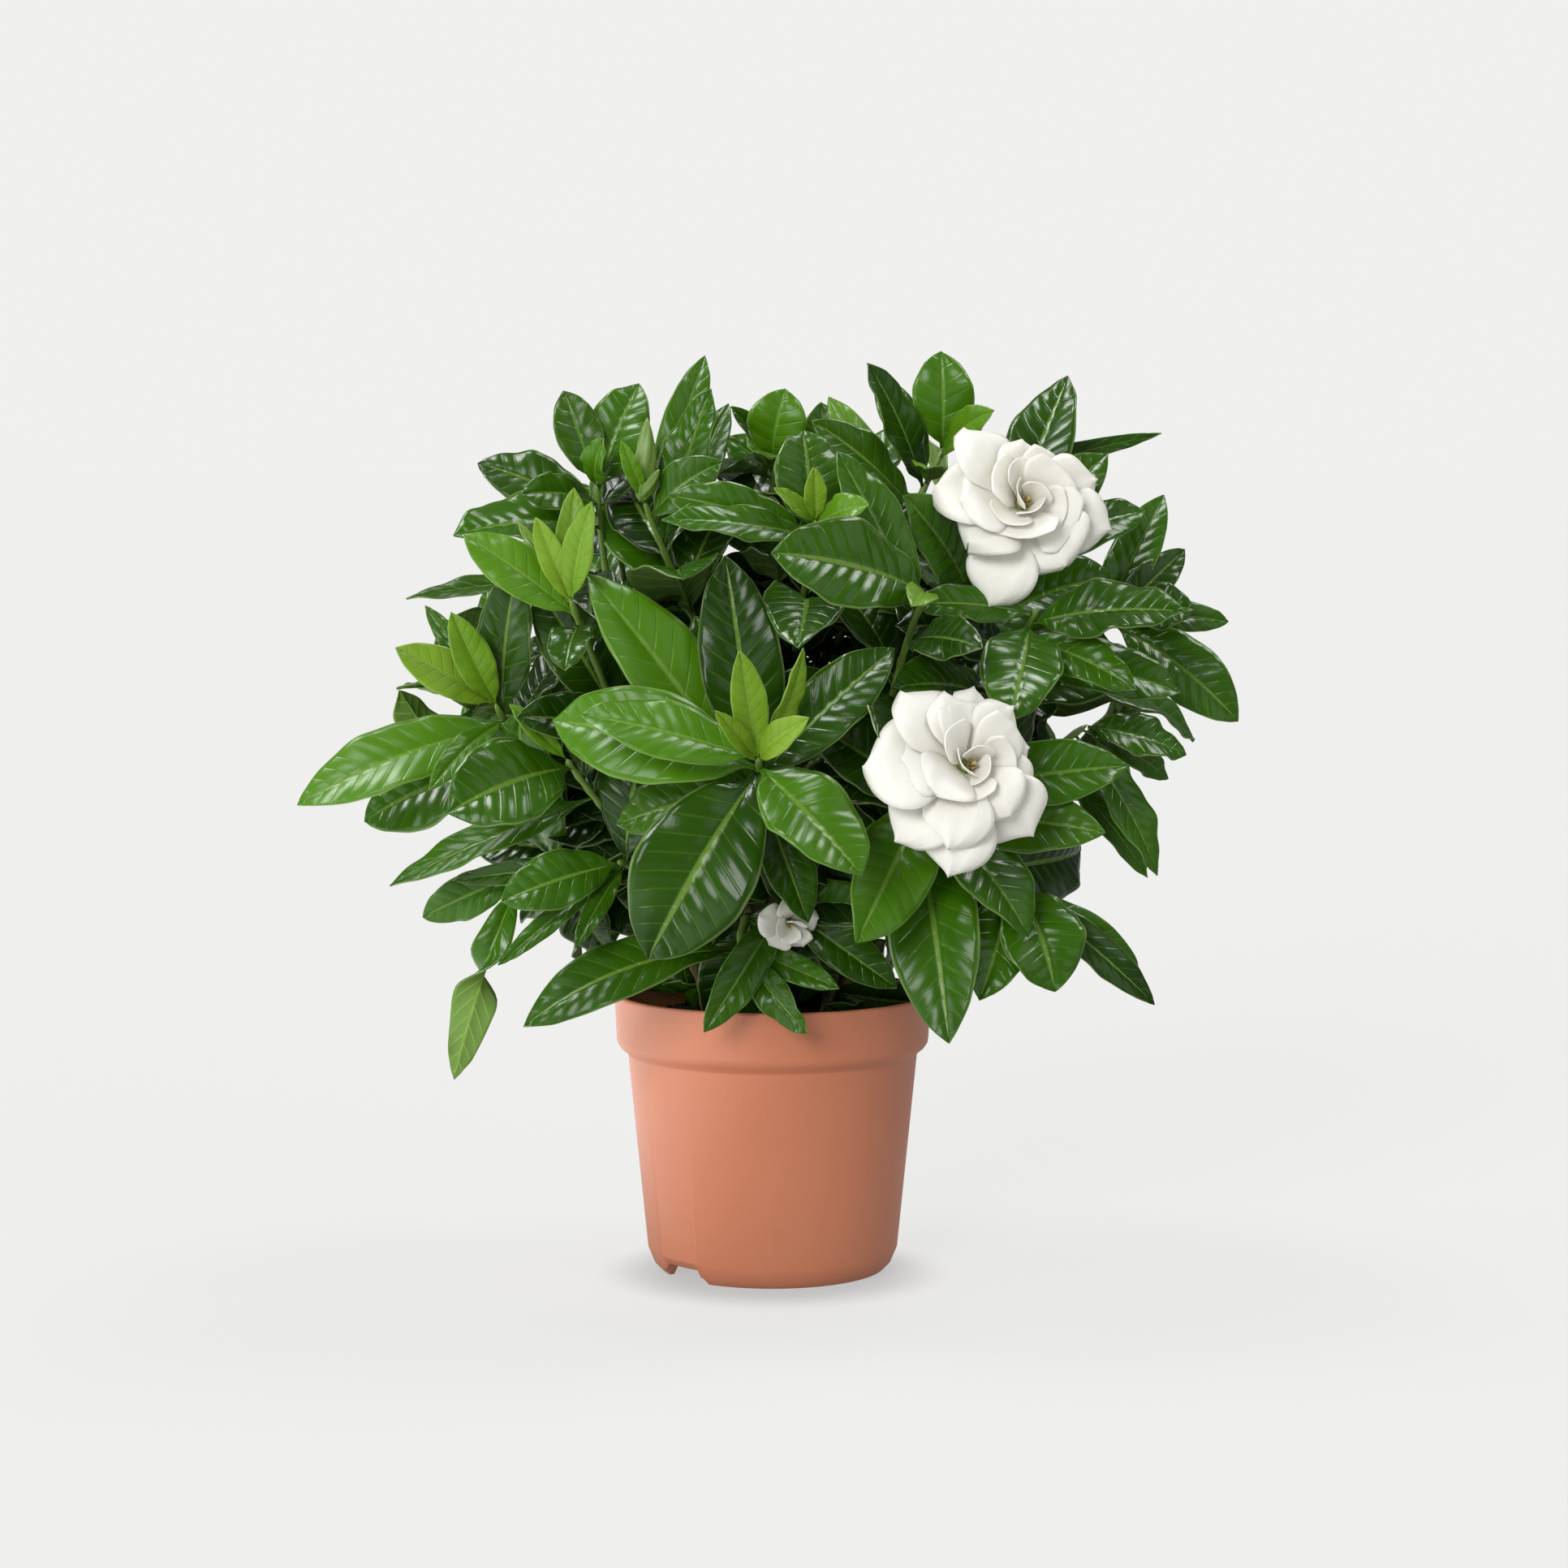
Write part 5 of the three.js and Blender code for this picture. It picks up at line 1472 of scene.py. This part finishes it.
def underside_finish():
    finish = Finish("leaf_underside", roughness=0.55, specular=0.2)
    midrib, vein, _ = leaf_pattern(finish)
    # A young underside takes the young green, partly painted light shining through it.
    blade = finish.mix(finish.attribute("youth"), LEAF_COLOURS["under"], LEAF_COLOURS["young"])
    ribs = finish.times(finish.math("MAXIMUM", vein, midrib), MARK_STRENGTH["under"])
    finish.colour(finish.mix(ribs, blade, LEAF_COLOURS["midrib"]))
    finish.relief(finish.plus(vein, finish.noise(600, 2)), 0.0003, 0.6)
    return finish.material


def green_stem_finish():
    finish = Finish("green_stem", roughness=0.45)
    cloud = finish.noise(90, 4)
    finish.colour(finish.mix(cloud, STEM_COLOURS["green"], STEM_COLOURS["pale_green"]))
    finish.relief(finish.noise(900, 3), 0.0002, 0.5)
    return finish.material


def bark_finish():
    finish = Finish("woody_bark", roughness=0.8)
    grain = finish.noise(700, 5, finish.along_height(0.25), 0.7)
    patch = finish.between(finish.noise(60, 3), 0.5, 0.75)
    pale = finish.between(grain, 0.35, 0.7)
    bark = finish.mix(pale, STEM_COLOURS["bark"], STEM_COLOURS["pale_bark"])
    finish.colour(finish.mix(patch, bark, STEM_COLOURS["mossy"]))
    finish.relief(grain, 0.0006, 0.8)
    return finish.material


def petal_finish():
    """Matt white petals, creamy towards the root, with faint lines along them."""
    finish = Finish("white_petal", roughness=0.5, specular=0.35, subsurface=0.2,
                    subsurface_radius=(1.0, 0.9, 0.7), subsurface_scale=0.002, sheen=0.1)
    along, over = finish.uv()
    creamy = finish.times(finish.between(along, 0.35, 0.0), 0.7)
    white = finish.mix(finish.noise(45, 3), BLOOM_COLOURS["soft_white"], BLOOM_COLOURS["white"])
    finish.colour(finish.mix(creamy, white, BLOOM_COLOURS["cream"]))
    stretched = {0: finish.times(along, 2.5), 1: finish.times(over, 26.0)}
    lines = finish.node("ShaderNodeCombineXYZ", stretched).outputs[0]
    finish.relief(finish.noise(1.6, 3, lines), 0.0005, 0.45)
    return finish.material


def stamen_finish():
    finish = Finish("stamen_ochre", roughness=0.7)
    finish.colour(finish.mix(finish.noise(500, 3), BLOOM_COLOURS["ochre"], BLOOM_COLOURS["straw"]))
    finish.relief(finish.noise(1800, 3), 0.0002, 0.6)
    return finish.material


def pot_finish():
    """Moulded plastic with faint clouds, fine specks and lines up its wall."""
    finish = Finish("terracotta_plastic", specular=0.6)
    cloud = finish.between(finish.noise(9, 3), 0.3, 0.7)
    base = finish.mix(cloud, POT_COLOURS["deep"], POT_COLOURS["light"])
    specks = finish.times(finish.noise(420, 4), 0.14)
    finish.colour(finish.mix(specks, base, POT_COLOURS["speck"]))
    streak = finish.noise(160, 2, finish.along_height(0.12))
    finish.relief(finish.plus(finish.noise(1500, 3), streak), 0.00012, 0.5)
    finish.surface("Roughness", finish.plus(finish.times(finish.noise(30, 4), 0.14), 0.36))
    return finish.material


def soil_finish():
    finish = Finish("dark_soil", roughness=0.95)
    grain = finish.noise(420, 6, None, 0.7)
    bits = finish.between(finish.noise(130, 2), 0.66, 0.74)
    light = finish.between(grain, 0.3, 0.7)
    peat = finish.mix(light, SOIL_COLOURS["dark"], SOIL_COLOURS["light"])
    finish.colour(finish.mix(bits, peat, SOIL_COLOURS["bits"]))
    finish.relief(grain, 0.0015, 0.9)
    return finish.material


# ---------------------------------------------------------------- stage, light and camera


def add_floor():
    """A plain pale floor that throws a little light back, with a painted shadow round the pot's
    foot.
    """
    bm = bmesh.new()
    bmesh.ops.create_grid(bm, x_segments=1, y_segments=1, size=FLOOR["half"])
    mesh = bpy.data.meshes.new("floor")
    bm.to_mesh(mesh)
    bm.free()
    floor = bpy.data.objects.new("floor", mesh)
    bpy.context.scene.collection.objects.link(floor)
    finish = Finish("pale_floor", roughness=0.9, specular=0)
    finish.colour((*FLOOR["colour"], 1))
    finish.surface("Emission Color", (1, 1, 0.99, 1))
    place = finish.place()
    shifted = {0: place, 1: (0, FLOOR["forward"], 0)}
    from_pot = finish.node("ShaderNodeVectorMath", shifted).outputs[0]
    reach = finish.node("ShaderNodeVectorMath", {0: from_pot}, operation="LENGTH").outputs["Value"]
    # Painted shadow round the front of the pot's foot: the floor's glow is darkened there.
    near = finish.between(reach, FLOOR["reach"], FLOOR["foot"])
    painted_shadow_dimming = finish.minus(1.0, finish.times(near, FLOOR["painted_shadow"]))
    seen = finish.node("ShaderNodeLightPath").outputs["Is Camera Ray"]
    more = finish.times(seen, FLOOR["seen_glow"] - FLOOR["glow"])
    side = finish.node("ShaderNodeSeparateXYZ", {0: place}).outputs[0]
    window_side = finish.between(side, FLOOR["lit_from"], FLOOR["lit_to"])
    lit = finish.times(window_side, FLOOR["bright_side"])
    thrown = finish.plus(finish.times(lit, finish.minus(1.0, seen)), FLOOR["glow"])
    finish.surface("Emission Strength", finish.times(painted_shadow_dimming, finish.plus(more, thrown)))
    mesh.materials.append(finish.material)


def add_sun(name, come_from, strength, angle, gloss_only):
    data = bpy.data.lights.new(name, "SUN")
    data.energy = math.pi * strength
    data.angle = math.radians(angle)
    lamp = bpy.data.objects.new(name, data)
    lamp.rotation_euler = Vector(come_from).to_track_quat("Z", "Y").to_euler()
    lamp.visible_diffuse = not gloss_only
    bpy.context.scene.collection.objects.link(lamp)


def add_world():
    """A pale studio that is seen plain behind the plant and lights it faintly from above."""
    world = bpy.data.worlds.new("studio")
    world.use_nodes = True
    tree = world.node_tree
    background = tree.nodes["Background"]
    place = tree.nodes.new("ShaderNodeTexCoord")
    split = tree.nodes.new("ShaderNodeSeparateXYZ")
    tree.links.new(place.outputs["Generated"], split.inputs[0])
    height = tree.nodes.new("ShaderNodeMapRange")
    tree.links.new(split.outputs[2], height.inputs["Value"])
    height.inputs["From Min"].default_value = STUDIO["low_at"]
    height.inputs["To Min"].default_value = STUDIO["low"]
    height.inputs["To Max"].default_value = STUDIO["high"]
    seen = tree.nodes.new("ShaderNodeLightPath")
    choose = tree.nodes.new("ShaderNodeMix")
    choose.data_type = "FLOAT"
    tree.links.new(seen.outputs["Is Camera Ray"], choose.inputs[0])
    tree.links.new(height.outputs[0], choose.inputs[2])
    choose.inputs[3].default_value = STUDIO["seen"]
    background.inputs["Color"].default_value = (*STUDIO["colour"], 1)
    tree.links.new(choose.outputs[0], background.inputs["Strength"])
    bpy.context.scene.world = world


def add_camera():
    data = bpy.data.cameras.new("camera")
    data.lens = CAMERA["lens"]
    data.sensor_width = CAMERA["sensor"]
    data.clip_end = CAMERA["sees_to"]
    camera = bpy.data.objects.new("camera", data)
    camera.location = Vector(CAMERA["place"]) * MM
    camera.rotation_euler = (math.radians(90 - CAMERA["pitch"]), 0, 0)
    bpy.context.scene.collection.objects.link(camera)
    bpy.context.scene.camera = camera


# ---------------------------------------------------------------- the whole plant

finishes = {
    "leaf": leaf_finish(),
    "leaf_underside": underside_finish(),
    "green_stem": green_stem_finish(),
    "bark": bark_finish(),
    "petal": petal_finish(),
    "stamen": stamen_finish(),
    "pot": pot_finish(),
    "soil": soil_finish(),
}

pot_piece(finishes)
soil_piece(finishes)
for stem_index in range(len(STEMS)):
    main_stem(stem_index, finishes)
for shoot_index, shoot_row in enumerate(SHOOTS):
    leaves_and_stem(shoot_row, shoot_index, finishes)
for bloom_row in BLOOMS:
    bloom_pieces(bloom_row, finishes)

add_floor()
add_world()
for lamp_name, lamp_row in LAMPS.items():
    add_sun(lamp_name, *lamp_row)
add_camera()
bpy.context.scene.view_settings.view_transform = "Standard"
